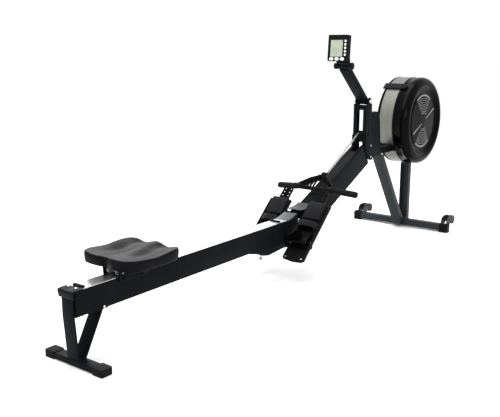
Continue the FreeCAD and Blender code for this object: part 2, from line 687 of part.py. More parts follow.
def transport_wheel(label, sign):
    """Solid castor with a rounded tread."""
    tyre = rod("castor_radius", "2 * castor_half",
               ("castor_x", f"{sign} * castor_mid - castor_half", "castor_z"), "Y")
    tyre = softened(tyre, 4.0, lambda edge: isinstance(edge.Curve, Part.Circle))
    bore = rod("castor_bore + running_gap", "2 * castor_half + 2",
               ("castor_x", f"{sign} * castor_mid - castor_half - 1", "castor_z"), "Y")
    node(label, cut(tyre, bore))


# ---------------------------------------------------------------- plates and posts

def boom_envelope(half, top, past):
    """The space the boom's upper end takes up."""
    block = group(box(("boom_low", f"boom_high + {past}"), (f"-({half})", half),
                      ("-boom_deep - 0.3", top)))
    block.Placement = BOOM
    return block


def side_plates():
    """Two plates over the boom's end and the hollow beam between them and the housing."""
    side = padded("XZ_Plane", [
        ("plate_rear + 4", "wheel_z - 92"), ("plate_rear + 10", "wheel_z - 26"),
        ("plate_front", "wheel_z - 26"), ("plate_front + 6", "wheel_z - 152"),
        ("plate_rear + 78", "wheel_z - 156"), ("plate_rear + 48", "wheel_z - 152")],
        "plate_out - plate_in", corner="6", corner_axis=V(0, 1, 0))
    moved(side, ("0", "(plate_in + plate_out) / 2", "0"))
    riser = padded("XZ_Plane", [
        ("post_front + 0.3", "wheel_z + 76"), ("post_front + 106", "wheel_z + 76"),
        ("post_front + 120", "wheel_z + 20"), ("post_front + 136", "wheel_z + beam_top - 3"),
        ("post_front + 136", "wheel_z + beam_bottom + 3"), ("post_front + 84", "wheel_z + beam_bottom"),
        ("post_front + 0.3", "wheel_z - 154")], "riser_high - riser_low")
    riser_room = padded("XZ_Plane", [
        ("post_front + 3", "wheel_z + 73"), ("post_front + 103", "wheel_z + 73"),
        ("post_front + 117", "wheel_z + 20"), ("post_front + 133", "wheel_z + beam_top - 3"),
        ("post_front + 133", "wheel_z + beam_bottom + 4"),
        ("post_front + 84", "wheel_z + beam_bottom + 3"), ("post_front + 3", "wheel_z - 151")],
        "riser_high - riser_low - 6")
    for part in (riser, riser_room):
        moved(part, ("0", "(riser_low + riser_high) / 2", "0"))
    beam = box(("post_front + 0.3", "wheel_x - 165"), ("beam_low", "beam_high"),
               ("wheel_z + beam_bottom", "wheel_z + beam_top"))
    beam_room = box(("post_front + 3", "wheel_x - 160"), ("beam_low + 3", "beam_high - 3"),
                    ("wheel_z + beam_bottom + 3", "wheel_z + beam_top - 3"))
    ties = [box(("post_front + 1", "plate_front"), (low, high),
                ("wheel_z + beam_bottom", "wheel_z + beam_top"))
            for low, high in (("-plate_in - 0.1", "riser_low + 0.1"),
                              ("beam_high - 0.1", "plate_in + 0.1"))]
    seat = group(box(("cage_radius - 90", "cage_radius + bridge_high + 0.2"), ("-60", "60"),
                     ("-90", "90")))
    seat = at_angle(seat, cell("bridge_lower"))
    seat.Placement = WHEEL.multiply(seat.Placement)
    box_frame = cut(fuse(riser, beam), riser_room, beam_room)
    shell = fuse(side, mirrored(side), box_frame, *ties)
    node("side_plates", cut(shell, boom_envelope("boom_half + 0.1", "0.3", "0.3"), seat))


def monitor_posts():
    """Two upright angle posts with a cross piece and ears for the monitor arm's bolt."""
    web = box(("post_rear", "post_front"), ("post_in", "post_out"), ("post_low", "post_top"))
    flange = box(("post_rear", "post_rear + 4"), ("flange_in", "post_out"), ("post_low", "post_top - 8"))
    ear = rod("19", "post_out - post_in", ("arm_x", "post_in", "arm_z"), "Y")
    tie = box(("post_rear", "post_rear + 24"), ("-post_in - 0.5", "post_in + 0.5"),
              ("arm_z - 40", "arm_z - 17"))
    bores = [cross_rod("axle_radius + running_gap", "post_out + 1", x, z)
             for x, z in (("arm_x", "arm_z"), ("guide_x", "guide_z"))]
    half = fuse(web, flange, ear)
    node("monitor_posts", cut(fuse(half, mirrored(half), tie), *bores,
                              boom_envelope("60", "0.1", "6")))


def frame_bolts():
    """Hinge bolt, chain guide bolt, arm bolt and the screws in the side plates."""
    hinge = fuse(cross_rod("pivot_radius", "hinge_out + 4", "pivot_x", "pivot_z"),
                 rod("11", "4", ("pivot_x", "hinge_out + 0.1", "pivot_z"), "Y"),
                 rod("11", "4", ("pivot_x", "-hinge_out - 4.1", "pivot_z"), "Y"))
    arm = fuse(cross_rod("axle_radius", "post_out + 12", "arm_x", "arm_z"),
               rod("7", "4", ("arm_x", "post_out + 0.1", "arm_z"), "Y"),
               rod("8", "5", ("arm_x", "-post_out - 5.1", "arm_z"), "Y"))
    guide = cross_rod("axle_radius", "post_out", "guide_x", "guide_z")
    pulley = group(rod("axle_radius", "2 * (boom_half - boom_wall) - 0.2",
                       ("return_along", "boom_wall - boom_half + 0.1", "return_down"), "Y"))
    pulley.Placement = BOOM
    spots = [("plate_front - 17", "wheel_z - 82"), ("plate_front - 14", "wheel_z - 138")]
    screws = [rod("4", "2.6", (x, y, z), "Y") for x, z in spots
              for y in ("plate_out + 0.1", "-plate_out - 2.7")]
    board_screws = group(*[rod("3.4", "1.6", (x, y, "0.05"), "Z") for x, y in (
        ("12", "board_in + 14"), ("12", "board_out - 18"), ("96", "board_out - 10.5"))])
    tacks = both_sides(board_screws)
    tacks.Placement = BOARD
    node("frame_bolts", group(hinge, arm, guide, pulley, *screws, tacks))


# ---------------------------------------------------------------- flywheel housing and drive

def ring(radius_in, radius_out, low, high):
    """A ring about the wheel's axle between two stations across the machine."""
    return cut(rod(radius_out, f"({high}) - ({low})", ("0", low, "0"), "Y"),
               rod(radius_in, f"({high}) - ({low}) + 2", ("0", f"({low}) - 1", "0"), "Y"))


def at_angle(thing, degrees):
    """Turn a piece about the axle, so that its +X side points up by the angle."""
    held = group(thing)
    held.Placement = FreeCAD.Placement(V(), FreeCAD.Rotation(V(0, 1, 0), -degrees))
    return held


def sector(radius, low, high, first, last):
    """A pie slice about the axle from one angle up to another."""
    piece = rod(radius, f"({high}) - ({low})", ("0", low, "0"), "Y")
    piece.Angle = last - first
    return at_angle(piece, last)


def rolled_corner(radius, inset):
    """Corner points of the intake cover's rolled rim, from its wall to its face."""
    points = []
    for degrees in (0, 22.5, 45, 67.5, 90):
        out = radius - inset
        turn = math.radians(degrees)
        points.append((f"cage_radius - cage_round + {out * math.cos(turn):.3f}",
                       f"cage_near + cage_round - {out * math.sin(turn):.3f}"))
    return points


def cage_shell_right():
    """Intake side cover: rolled rim, dished ring and a louvred cone at the middle."""
    radius = cell("cage_round")
    outside = [("cage_radius", "band_near - 0.1"), *rolled_corner(radius, 0),
               ("186", "cage_near + 2"), ("172", "cage_near + 16"), ("146", "cage_near + 21"),
               ("140", "cage_near + 15"), ("26", "cage_near + 10"), ("0", "cage_near + 9")]
    inside = [("0", "cage_near + 12"), ("26", "cage_near + 13"), ("139", "cage_near + 18"),
              ("146", "cage_near + 24"), ("173", "cage_near + 19"), ("187", "cage_near + 5"),
              *reversed(rolled_corner(radius, 4)), ("cage_radius - 4", "band_near - 0.1")]
    body = turned("XY_Plane", outside + inside)
    slots = []
    for middle in (90, 270):
        for step in range(6):
            louvre = ring(f"46 + {step} * louvre_pitch", f"54 + {step} * louvre_pitch",
                          "cage_near - 9", "cage_near + 30")
            slice_of = sector("160", "cage_near - 12", "cage_near + 34", middle - 38, middle + 38)
            slots.append(common(louvre, slice_of))
    track = common(ring("cage_radius - 6", "cage_radius + 1", "damper_y - 3.5", "damper_y + 3.5"),
                   sector("cage_radius + 4", "damper_y - 9", "damper_y + 9", 139, 211))
    node("cage_shell_right", cut(body, *slots, track), WHEEL)


def cage_shell_left():
    """Closed far cover with a boss for the axle."""
    body = turned("XY_Plane", [
        ("cage_radius", "band_far + 0.1"), ("cage_radius", "cage_far - 6"),
        ("cage_radius - 6", "cage_far"), ("60", "cage_far - 2"), ("24", "cage_far + 4"),
        ("spindle_radius + 0.02", "cage_far + 4"), ("spindle_radius + 0.02", "cage_far - 6"),
        ("60", "cage_far - 6"), ("cage_radius - 7", "cage_far - 3"),
        ("cage_radius - 4", "cage_far - 8"), ("cage_radius - 4", "band_far + 0.1")])
    node("cage_shell_left", body, WHEEL)


def chain_mouth():
    """The opening that lets the chain into the housing, inside the beam."""
    return box(("-cage_radius - 30", "-140"), ("-7", "7"),
               ("beam_bottom + 4", "beam_top - 4"))


def perforated_band():
    """Outlet band between the covers."""
    band = ring("cage_radius - 3.2", "cage_radius - 1.2", "band_near", "band_far")
    node("perforated_band", cut(band, chain_mouth()), WHEEL)


def cage_bridges():
    """Two clamps across the band, each with a rounded end on the intake cover's wall."""
    bridges = []
    for angle in (cell("bridge_upper"), cell("bridge_lower")):
        block = box(("cage_radius + 0.1", "cage_radius + bridge_high"), ("-22", "cage_far - 6"),
                    ("-20", "20"))
        boss = rod("18", "bridge_high - 0.1", ("cage_radius + 0.1", "-22", "0"), "X")
        bridges.append(at_angle(fuse(block, boss), angle))
    node("cage_bridges", cut(group(*bridges), chain_mouth()), WHEEL)


def fan_wheel():
    """Hub, web and radial blades, all on the intake side of the chain."""
    blade_count = 18
    hub = ring("bearing_radius + 0.02", "bearing_radius + 6", "-fan_outer", "-fan_inner")
    web = ring("bearing_radius + 5", "fan_radius - 30", "-fan_inner - 4", "-fan_inner")
    blade = box(("96", "fan_radius"), ("-fan_outer", "-fan_inner"), ("-1.5", "1.5"))
    blades = [at_angle(blade, 360 * k / blade_count) for k in range(blade_count)]
    tie = ring("fan_radius - 34", "fan_radius - 28", "-fan_inner - 8", "-fan_inner")
    node("fan_wheel", fuse(hub, web, *blades, tie), WHEEL)


def wheel_axle():
    """Fixed spindle with its two ball bearings."""
    spindle = rod("spindle_radius", "cage_far - cage_near - 16", ("0", "cage_near + 20", "0"), "Y")
    bearings = [ring("spindle_radius + 0.02", "bearing_radius", low, f"{low} + 9")
                for low in ("2 - fan_outer", "-fan_inner - 11")]
    node("wheel_axle", group(spindle, *bearings), WHEEL)


def drive_sprocket():
    """Toothed sprocket with a one-way clutch at its bore."""
    teeth = 14
    disc = rod("sprocket_radius", "6", ("0", "-3", "0"), "Y")
    notch = rod("4", "8", ("sprocket_radius + 1.6", "-4", "0"), "Y")
    notches = [at_angle(notch, 360 * k / teeth) for k in range(teeth)]
    boss = rod("16", "14", ("0", "-7", "0"), "Y")
    bore = rod("spindle_radius + running_gap", "20", ("0", "-10", "0"), "Y")
    node("drive_sprocket", cut(fuse(cut(disc, *notches), boss), bore), WHEEL)


def damper_ring():
    """Ring behind the intake cover's rim whose lever comes out through the cover's slot."""
    rim = ring("cage_radius - 14", "cage_radius - 8", "damper_y - 6", "damper_y + 6")
    stem = box(("cage_radius - 10", "cage_radius + 12"), ("damper_y - 2.5", "damper_y + 2.5"),
               ("-5", "5"))
    node("damper_ring", fuse(rim, at_angle(stem, cell("damper_rest"))), WHEEL)


# ---------------------------------------------------------------- monitor

def monitor_arm():
    """Flat box arm with a knuckle at the posts and another at the monitor."""
    bar = box(("14", "arm_long - 16"), ("-arm_half + 0.4", "arm_half - 0.4"),
              ("-arm_thick / 2", "arm_thick / 2"))
    bar = softened(bar, 2.5, along(V(1, 0, 0)))
    low = rod("15", "2 * arm_half - 2", ("0", "1 - arm_half", "0"), "Y")
    neck = box(("0", "20"), ("1 - arm_half", "arm_half - 1"), ("-9", "9"))
    high = rod("11", "2 * arm_half", ("arm_long", "-arm_half", "0"), "Y")
    top = box(("arm_long - 20", "arm_long"), ("-arm_half", "arm_half"), ("-8", "8"))
    bores = [rod("axle_radius + running_gap", "2 * arm_half + 4", ("0", "-arm_half - 2", "0"), "Y"),
             rod("axle_radius + running_gap", "2 * arm_half + 4",
                 ("arm_long", "-arm_half - 2", "0"), "Y")]
    node("monitor_arm", cut(fuse(bar, low, neck, high, top), *bores), ARM)


def monitor_bracket():
    """Clevis behind the monitor with a clamp bolt and a knob at each end."""
    face = "monitor_back - 4 - monitor_ahead"
    ears = [rod("13", "6", ("0", y, "0"), "Y") for y in ("arm_half + 0.4", "-arm_half - 6.4")]
    webs = [box((f"{face} + 0.1", "0"), (y, f"{y} + 6"), ("-6", "monitor_low + 12"))
            for y in ("arm_half + 0.4", "-arm_half - 6.4")]
    back = box((f"{face} + 0.1", f"{face} + 4"), ("-arm_half - 6.4", "arm_half + 6.4"),
               ("10", "monitor_low + 31.5"))
    pin = rod("axle_radius", "2 * arm_half + 40", ("0", "-arm_half - 20", "0"), "Y")
    knobs = [rod("14", "13", ("0", "arm_half + 7", "0"), "Y"),
             rod("16", "14", ("0", "-arm_half - 21", "0"), "Y")]
    clear = rod("12.5", "2 * arm_half + 0.8", ("0", "-arm_half - 0.4", "0"), "Y")
    node("monitor_bracket", fuse(cut(fuse(*ears, *webs, back), clear), pin, *knobs), MONITOR)


def button_spots():
    """Where the buttons sit on the face: five round ones in a column, three ovals below."""
    spots = [(f"side_button_{word}", "-38.5", f"monitor_high - 28 - {k} * 15.3", "5.2", "0")
             for k, word in enumerate(("a", "b", "c", "d", "e"))]
    spots += [(f"main_button_{word}", y, "monitor_low + 10", "6.8", "4")
              for word, y in (("left", "31"), ("middle", "3"), ("right", "-25"))]
    return spots


def button_shape(x, long, y, z, radius, stretch):
    """A round or oval button along the local X axis."""
    ends = [rod(radius, long, (x, f"{y} + {s} * {stretch}", z), "X") for s in (-1, 1)]
    if stretch == "0":
        return ends[0]
    middle = box((x, f"{x} + {long}"), (f"{y} - {stretch}", f"{y} + {stretch}"),
                 (f"{z} - {radius}", f"{z} + {radius}"))
    return fuse(*ends, middle)


def monitor_case():
    """Front shell, back shell, display lens and the eight buttons."""
    shell = box(("0", "monitor_deep - 10"), ("-monitor_half", "monitor_half"),
                ("monitor_low", "monitor_high"))
    shell = softened(shell, 6.0, along(V(1, 0, 0)))
    room = box(("3", "monitor_deep"), ("3 - monitor_half", "monitor_half - 3"),
               ("monitor_low + 3", "monitor_high - 3"))
    window = box(("-1", "4"), ("-25", "39"), ("monitor_low + 20", "monitor_high - 23"))
    holes = [button_shape("-1", "6", y, z, f"({radius} + 0.35)", stretch)
             for _, y, z, radius, stretch in button_spots()]
    node("monitor_housing", cut(shell, room, window, *holes), CASE)
    back = box(("monitor_deep - 9.9", "monitor_back - 4"), ("-monitor_half", "monitor_half"),
               ("monitor_low", "monitor_high"))
    back = softened(back, 6.0, along(V(1, 0, 0)))
    bump = softened(box(("monitor_back - 4", "monitor_back + 6"), ("-40", "30"),
                        ("monitor_low + 32", "monitor_high - 30")), 3.0, along(V(1, 0, 0)))
    pocket = box(("monitor_deep - 10", "monitor_back - 7"), ("3 - monitor_half", "monitor_half - 3"),
                 ("monitor_low + 3", "monitor_high - 3"))
    node("monitor_rear_cover", cut(fuse(back, bump), pocket), CASE)
    node("monitor_lens", box(("0.8", "2.8"), ("-24.8", "38.8"),
                             ("monitor_low + 20.2", "monitor_high - 23.2")), CASE)
    for label, y, z, radius, stretch in button_spots():
        node(label, button_shape("-2", "7", y, z, radius, stretch), CASE)


# ---------------------------------------------------------------- handle, chain and return

def handle():
    """Core bar, two grips and the ribbed yoke that takes the chain."""
    inner = V(cell("grip_in_x"), cell("grip_in"), cell("grip_in_z"))
    outer = V(cell("grip_out_x"), cell("grip_out"), cell("grip_out_z"))
    run = outer.sub(inner)
    reach = run.Length
    aim = run.normalize()
    start = inner.sub(V(aim).multiply(26))
    core = fixed(Part.makeCylinder(cell("handle_core"), reach + 22, start, aim))
    grip = Part.makeCylinder(cell("grip_radius"), reach, inner, aim)
    bore = Part.makeCylinder(cell("handle_core") + 0.1, reach - 3, inner, aim)
    node("handle_bar", both_sides(core))
    node("handle_grips", both_sides(fixed(grip.cut(bore))))
    apex = V(cell("apex_x"), 0, cell("apex_z"))
    wide = yoke_section(V(apex).add(V(-12, 2, 0)), 24, 46)
    waist = yoke_section(V((apex.x + inner.x) / 2 - 6, inner.y / 2, (apex.z + inner.z) / 2 + 2), 18, 36)
    narrow = yoke_section(V(inner).sub(V(aim).multiply(4)), 18, 22)
    arm = Part.makeLoft([wide, waist, narrow], True, True)
    socket = Part.makeCylinder(cell("handle_core") + 0.1, 60, start.sub(V(aim).multiply(0.2)), aim)
    room = Part.makeCylinder(cell("grip_radius") + 0.4, reach, inner.sub(V(aim).multiply(0.3)), aim)
    base = Part.makeBox(18, inner.y, 16, V(inner.x - 8, 0, inner.z - 9))
    arm = arm.fuse(base).cut(socket).cut(room)
    left = fixed(arm)
    hub = rod("13", "50", ("apex_x - 8", "0", "apex_z - 25"))
    hook = rod("5", "16", ("apex_x + 2", "0", "apex_z + 4"), "X")
    node("handle_yoke", fuse(left, mirrored(left), hub, hook))


def yoke_section(centre, wide, high):
    """A rectangle across one arm of the yoke."""
    side = V(0.66, 0.75, 0).normalize().multiply(wide / 2)
    up = V(0, 0, high / 2)
    corners = [centre.sub(side).sub(up), centre.add(side).sub(up),
               centre.add(side).add(up), centre.sub(side).add(up)]
    return Part.makePolygon(corners + corners[:1])


def chain():
    """Drive chain from the yoke over the guide wheel and through the arm to the sprocket."""
    high = cell("chain_high")
    start = V(cell("apex_x") + 20, 0, cell("apex_z") + 4)
    guide = V(cell("guide_x"), 0, cell("guide_z"))
    lift = cell("guide_radius") + high / 2 + 0.3
    aim = V(guide).sub(start)
    slope = math.atan2(aim.z, aim.x) + math.asin(-lift / aim.Length) * -1
    over = V(guide).add(V(-math.sin(slope), 0, math.cos(slope)).multiply(lift))
    run = Part.makeBox(over.sub(start).Length, 2 * cell("chain_half"), high)
    run.translate(V(0, -cell("chain_half"), -high / 2))
    run.rotate(V(), V(0, 1, 0), -math.degrees(math.atan2(over.z - start.z, over.x - start.x)))
    run.translate(start)
    node("chain", fixed(run))


def chain_guide():
    """Grooved guide wheel between the side plates."""
    wheel = rod("guide_radius + 6", "20", ("guide_x", "-10", "guide_z"), "Y")
    groove = cut(rod("guide_radius + 8", "10", ("guide_x", "-5", "guide_z"), "Y"),
                 rod("guide_radius", "12", ("guide_x", "-6", "guide_z"), "Y"))
    bore = rod("axle_radius + running_gap", "22", ("guide_x", "-11", "guide_z"), "Y")
    node("chain_guide", cut(wheel, groove, bore))


def return_drive():
    """Pulley and shock cord inside the boom that draw the chain back."""
    wheel = rod("20", "12", ("return_along", "-6", "return_down"), "Y")
    groove = cut(rod("21", "7", ("return_along", "-3.5", "return_down"), "Y"),
                 rod("15", "9", ("return_along", "-4.5", "return_down"), "Y"))
    bore = rod("axle_radius + running_gap", "14", ("return_along", "-7", "return_down"), "Y")
    node("return_pulley", cut(wheel, groove, bore), BOOM)
    runs = [rod("cord_radius", "430", ("return_along", "0", f"return_down + {side} * cord_turn"), "X")
            for side in (-1, 1)]
    bend = DOC.addObject("Part::Torus", "Bend")
    bind(bend, "Radius1", "cord_turn")
    bind(bend, "Radius2", "cord_radius")
    bend.Angle3 = 180
    bend.Placement = FreeCAD.Placement(V(), FreeCAD.Rotation(V(0, 1, 0), 90).multiply(TURNS["Y"]))
    bind_base(bend, ("return_along", "0", "return_down"))
    node("shock_cord", fuse(*runs, bend), BOOM)


def build():
    rail_extrusion()
    rail_track()
    rail_end_cap()
    seat_stops()
    rail_nose_cover()
    rear_leg()
    rear_foot_caps()
    rail_bolts()
    seat_pad()
    seat_carriage()
    seat_rollers("seat_rollers_rear", "roller_rear")
    seat_rollers("seat_rollers_front", "roller_front")
    main_boom()
    hinge_cheeks()
    under_bracket()
    hinge_front_cover()
    lock_pin()
    for side in ("left", "right"):
        footboard(side)
        heel_cup(side)
    toe_straps()
    foot_crossbar()
    front_leg()
    front_crossbar()
    front_foot_caps()
    transport_wheel("transport_wheel_left", "1")
    transport_wheel("transport_wheel_right", "-1")
    side_plates()
    monitor_posts()
    frame_bolts()
    cage_shell_right()
    cage_shell_left()
    perforated_band()
    cage_bridges()
    fan_wheel()
    wheel_axle()
    drive_sprocket()
    damper_ring()
    monitor_arm()
    monitor_bracket()
    monitor_case()
    handle()
    chain()
    chain_guide()
    return_drive()


def export():
    """Check every object and write one STEP file per sub-part."""
    DOC.recompute()
    broken = [item.Name for item in DOC.Objects
              if "Invalid" in item.State or "Error" in item.State]
    assert not broken, f"failed objects: {broken}"
    os.makedirs("parts", exist_ok=True)
    for thing in NODES:
        assert not thing.Shape.isNull() and thing.Shape.isValid(), thing.Label
        thing.Shape.exportStep(f"parts/{thing.Label}.step")
    print(len(NODES), "sub-parts written")


build()
export()
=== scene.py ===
"""Looks of the air rowing machine: bevelled frame pieces, moulded seat, fan cover, grips and footrests.

Metres, in the frame's own axes: +X towards the flywheel, +Y the rower's left, +Z up.
"""
import json
import math

import bmesh
import bpy
from mathutils import Matrix, Vector


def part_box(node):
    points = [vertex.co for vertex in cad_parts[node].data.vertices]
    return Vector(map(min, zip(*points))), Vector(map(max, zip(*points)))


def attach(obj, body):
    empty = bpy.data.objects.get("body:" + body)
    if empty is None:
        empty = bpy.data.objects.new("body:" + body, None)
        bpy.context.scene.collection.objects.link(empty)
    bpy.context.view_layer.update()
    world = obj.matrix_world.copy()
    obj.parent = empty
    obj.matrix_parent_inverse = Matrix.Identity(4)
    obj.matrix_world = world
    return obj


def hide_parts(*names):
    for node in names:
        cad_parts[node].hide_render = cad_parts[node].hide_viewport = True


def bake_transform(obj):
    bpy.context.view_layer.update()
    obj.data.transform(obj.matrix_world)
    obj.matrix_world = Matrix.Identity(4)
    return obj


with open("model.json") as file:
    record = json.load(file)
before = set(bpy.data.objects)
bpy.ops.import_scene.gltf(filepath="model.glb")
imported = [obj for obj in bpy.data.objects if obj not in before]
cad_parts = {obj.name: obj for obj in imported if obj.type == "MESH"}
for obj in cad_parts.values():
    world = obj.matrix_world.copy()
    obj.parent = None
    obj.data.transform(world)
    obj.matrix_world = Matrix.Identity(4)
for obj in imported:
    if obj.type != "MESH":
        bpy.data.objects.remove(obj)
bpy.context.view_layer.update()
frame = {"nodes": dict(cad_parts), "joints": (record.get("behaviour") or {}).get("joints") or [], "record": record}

FULL = 2 * math.pi


# ---------------------------------------------------------------- frames and small helpers

def joint(name):
    return next(item for item in frame["joints"] if item["name"] == name)


WHEEL = Vector(joint("flywheel_spin")["pos_m"])
# Flywheel housing, from the axle: radii and stations on the +Y axis.
COVER_RADIUS = 0.2318
COVER_NEAR = -0.092
BAND_RADIUS = 0.2306
BAND_NEAR = -0.0088
BAND_FAR = 0.0658
BAND_SHEET = 0.0020
BRIDGE_ANGLES = (127, 214)
BRIDGE_TOP = COVER_RADIUS + 0.0069
BRIDGE_SCREW_Y = -0.022


def link(name, mesh):
    thing = bpy.data.objects.new(name, mesh)
    bpy.context.scene.collection.objects.link(thing)
    return thing


def mesh_of(name, verts, faces):
    mesh = bpy.data.meshes.new(name)
    mesh.from_pydata([tuple(v) for v in verts], [], faces)
    mesh.validate()
    return link(name, mesh)


def from_bmesh(name, bm):
    bmesh.ops.recalc_face_normals(bm, faces=bm.faces)
    mesh = bpy.data.meshes.new(name)
    bm.to_mesh(mesh)
    bm.free()
    return link(name, mesh)


def apply_modifiers(thing):
    """Replace the mesh with what its modifiers make of it."""
    bpy.context.view_layer.update()
    shape = thing.evaluated_get(bpy.context.evaluated_depsgraph_get())
    final = bpy.data.meshes.new_from_object(shape)
    thing.modifiers.clear()
    thing.data = final
    return thing


def shade_by_angle(thing, degrees=35):
    """Smooth shading, with edges sharper than the angle kept crisp."""
    bm = bmesh.new()
    bm.from_mesh(thing.data)
    for face in bm.faces:
        face.smooth = True
    for edge in bm.edges:
        wide = len(edge.link_faces) == 2 and edge.calc_face_angle(0) > math.radians(degrees)
        edge.smooth = not wide
    bm.to_mesh(thing.data)
    bm.free()
    return thing


def bevel(thing, width, segments=2, degrees=30):
    tool = thing.modifiers.new("edges", "BEVEL")
    tool.width = width
    tool.segments = segments
    tool.limit_method = "ANGLE"
    tool.angle_limit = math.radians(degrees)
    tool.use_clamp_overlap = True
    return thing


def subdivide(thing, levels=2):
    tool = thing.modifiers.new("smooth", "SUBSURF")
    tool.levels = levels
    tool.render_levels = levels
    return thing


def dress(thing, material):
    thing.data.materials.clear()
    thing.data.materials.append(material)
    return thing


def finish_piece(thing, body, slot, material, *nodes):
    """Dress a piece, let it ride on its body and hide the parts it stands in for."""
    dress(thing, material)
    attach(thing, body)
    if nodes:
        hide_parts(*nodes)
    return thing


# ---------------------------------------------------------------- materials

def graph(name):
    material = bpy.data.materials.new(name)
    material.use_nodes = True
    nodes = material.node_tree.nodes
    return material, nodes, material.node_tree.links, nodes["Principled BSDF"]


def coordinates(nodes, links, scale):
    """Object coordinates stretched by a scale on each axis."""
    place = nodes.new("ShaderNodeTexCoord")
    stretch = nodes.new("ShaderNodeMapping")
    stretch.inputs["Scale"].default_value = scale
    links.new(place.outputs["Object"], stretch.inputs["Vector"])
    return stretch.outputs["Vector"]


def speckle(nodes, links, vector, scale, detail=3.0, rough=0.6):
    tex = nodes.new("ShaderNodeTexNoise")
    tex.inputs["Scale"].default_value = scale
    tex.inputs["Detail"].default_value = detail
    tex.inputs["Roughness"].default_value = rough
    links.new(vector, tex.inputs["Vector"])
    return tex.outputs["Fac"]


def ramp(nodes, links, value, low, high, first=0.3, last=0.7):
    """Spread a 0 to 1 value between two colours."""
    tool = nodes.new("ShaderNodeValToRGB")
    tool.color_ramp.elements[0].position = first
    tool.color_ramp.elements[1].position = last
    tool.color_ramp.elements[0].color = (*low, 1)
    tool.color_ramp.elements[1].color = (*high, 1)
    links.new(value, tool.inputs["Fac"])
    return tool.outputs["Color"]


def spread(nodes, links, value, low, high):
    tool = nodes.new("ShaderNodeMapRange")
    tool.inputs["To Min"].default_value = low
    tool.inputs["To Max"].default_value = high
    links.new(value, tool.inputs["Value"])
    return tool.outputs["Result"]


def bump(nodes, links, shader, height, strength, distance):
    tool = nodes.new("ShaderNodeBump")
    tool.inputs["Strength"].default_value = strength
    tool.inputs["Distance"].default_value = distance
    links.new(height, tool.inputs["Height"])
    links.new(tool.outputs["Normal"], shader.inputs["Normal"])


def coated(name, colour, roughness, grain, depth, vary=0.22, gloss=0.25):
    """Paint, plastic or rubber: cloudy colour, uneven gloss and a fine grain."""
    material, nodes, links, shader = graph(name)
    vector = coordinates(nodes, links, (1, 1, 1))
    cloud = speckle(nodes, links, vector, 9, 4)
    fine = speckle(nodes, links, vector, grain, 2)
    dark = tuple(part * (1 - vary) for part in colour)
    light = tuple(part * (1 + vary) for part in colour)
    links.new(ramp(nodes, links, cloud, dark, light), shader.inputs["Base Color"])
    links.new(spread(nodes, links, cloud, roughness * 0.85, roughness * 1.18), shader.inputs["Roughness"])
    shader.inputs["Specular IOR Level"].default_value = gloss
    bump(nodes, links, shader, fine, 0.5, depth)
    return material


def brushed(name, colour, roughness, stretch, depth=0.00004):
    """Metal with drawn lines along one axis."""
    material, nodes, links, shader = graph(name)
    vector = coordinates(nodes, links, stretch)
    lines = speckle(nodes, links, vector, 1.0, 5, 0.7)
    cloud = speckle(nodes, links, coordinates(nodes, links, (1, 1, 1)), 14, 3)
    dark = tuple(part * 0.86 for part in colour)
    light = tuple(min(part * 1.1, 1) for part in colour)
    links.new(ramp(nodes, links, lines, dark, light), shader.inputs["Base Color"])
    links.new(spread(nodes, links, cloud, roughness * 0.8, roughness * 1.25), shader.inputs["Roughness"])
    shader.inputs["Metallic"].default_value = 1.0
    bump(nodes, links, shader, lines, 0.4, depth)
    return material


def woven(name, colour, pitch):
    """Webbing: crossed ribs of yarn."""
    material, nodes, links, shader = graph(name)
    vector = coordinates(nodes, links, (1, 1, 1))
    bands = []
    for axis in ("X", "Y"):
        wave = nodes.new("ShaderNodeTexWave")
        wave.wave_type = "BANDS"
        wave.bands_direction = axis
        wave.inputs["Scale"].default_value = 0.314 / pitch
        wave.inputs["Distortion"].default_value = 0.4
        wave.inputs["Detail"].default_value = 1.0
        links.new(vector, wave.inputs["Vector"])
        bands.append(wave.outputs["Fac"])
    weave = nodes.new("ShaderNodeMath")
    weave.operation = "MULTIPLY"
    links.new(bands[0], weave.inputs[0])
    links.new(bands[1], weave.inputs[1])
    dark = tuple(part * 0.55 for part in colour)
    light = tuple(part * 1.35 for part in colour)
    yarn = ramp(nodes, links, weave.outputs["Value"], dark, light, 0.1, 0.8)
    links.new(yarn, shader.inputs["Base Color"])
    shader.inputs["Roughness"].default_value = 0.82
    shader.inputs["Sheen Weight"].default_value = 0.05
    shader.inputs["Specular IOR Level"].default_value = 0.12
    shader.inputs["Sheen Roughness"].default_value = 0.4
    bump(nodes, links, shader, weave.outputs["Value"], 0.7, 0.0005)
    return material


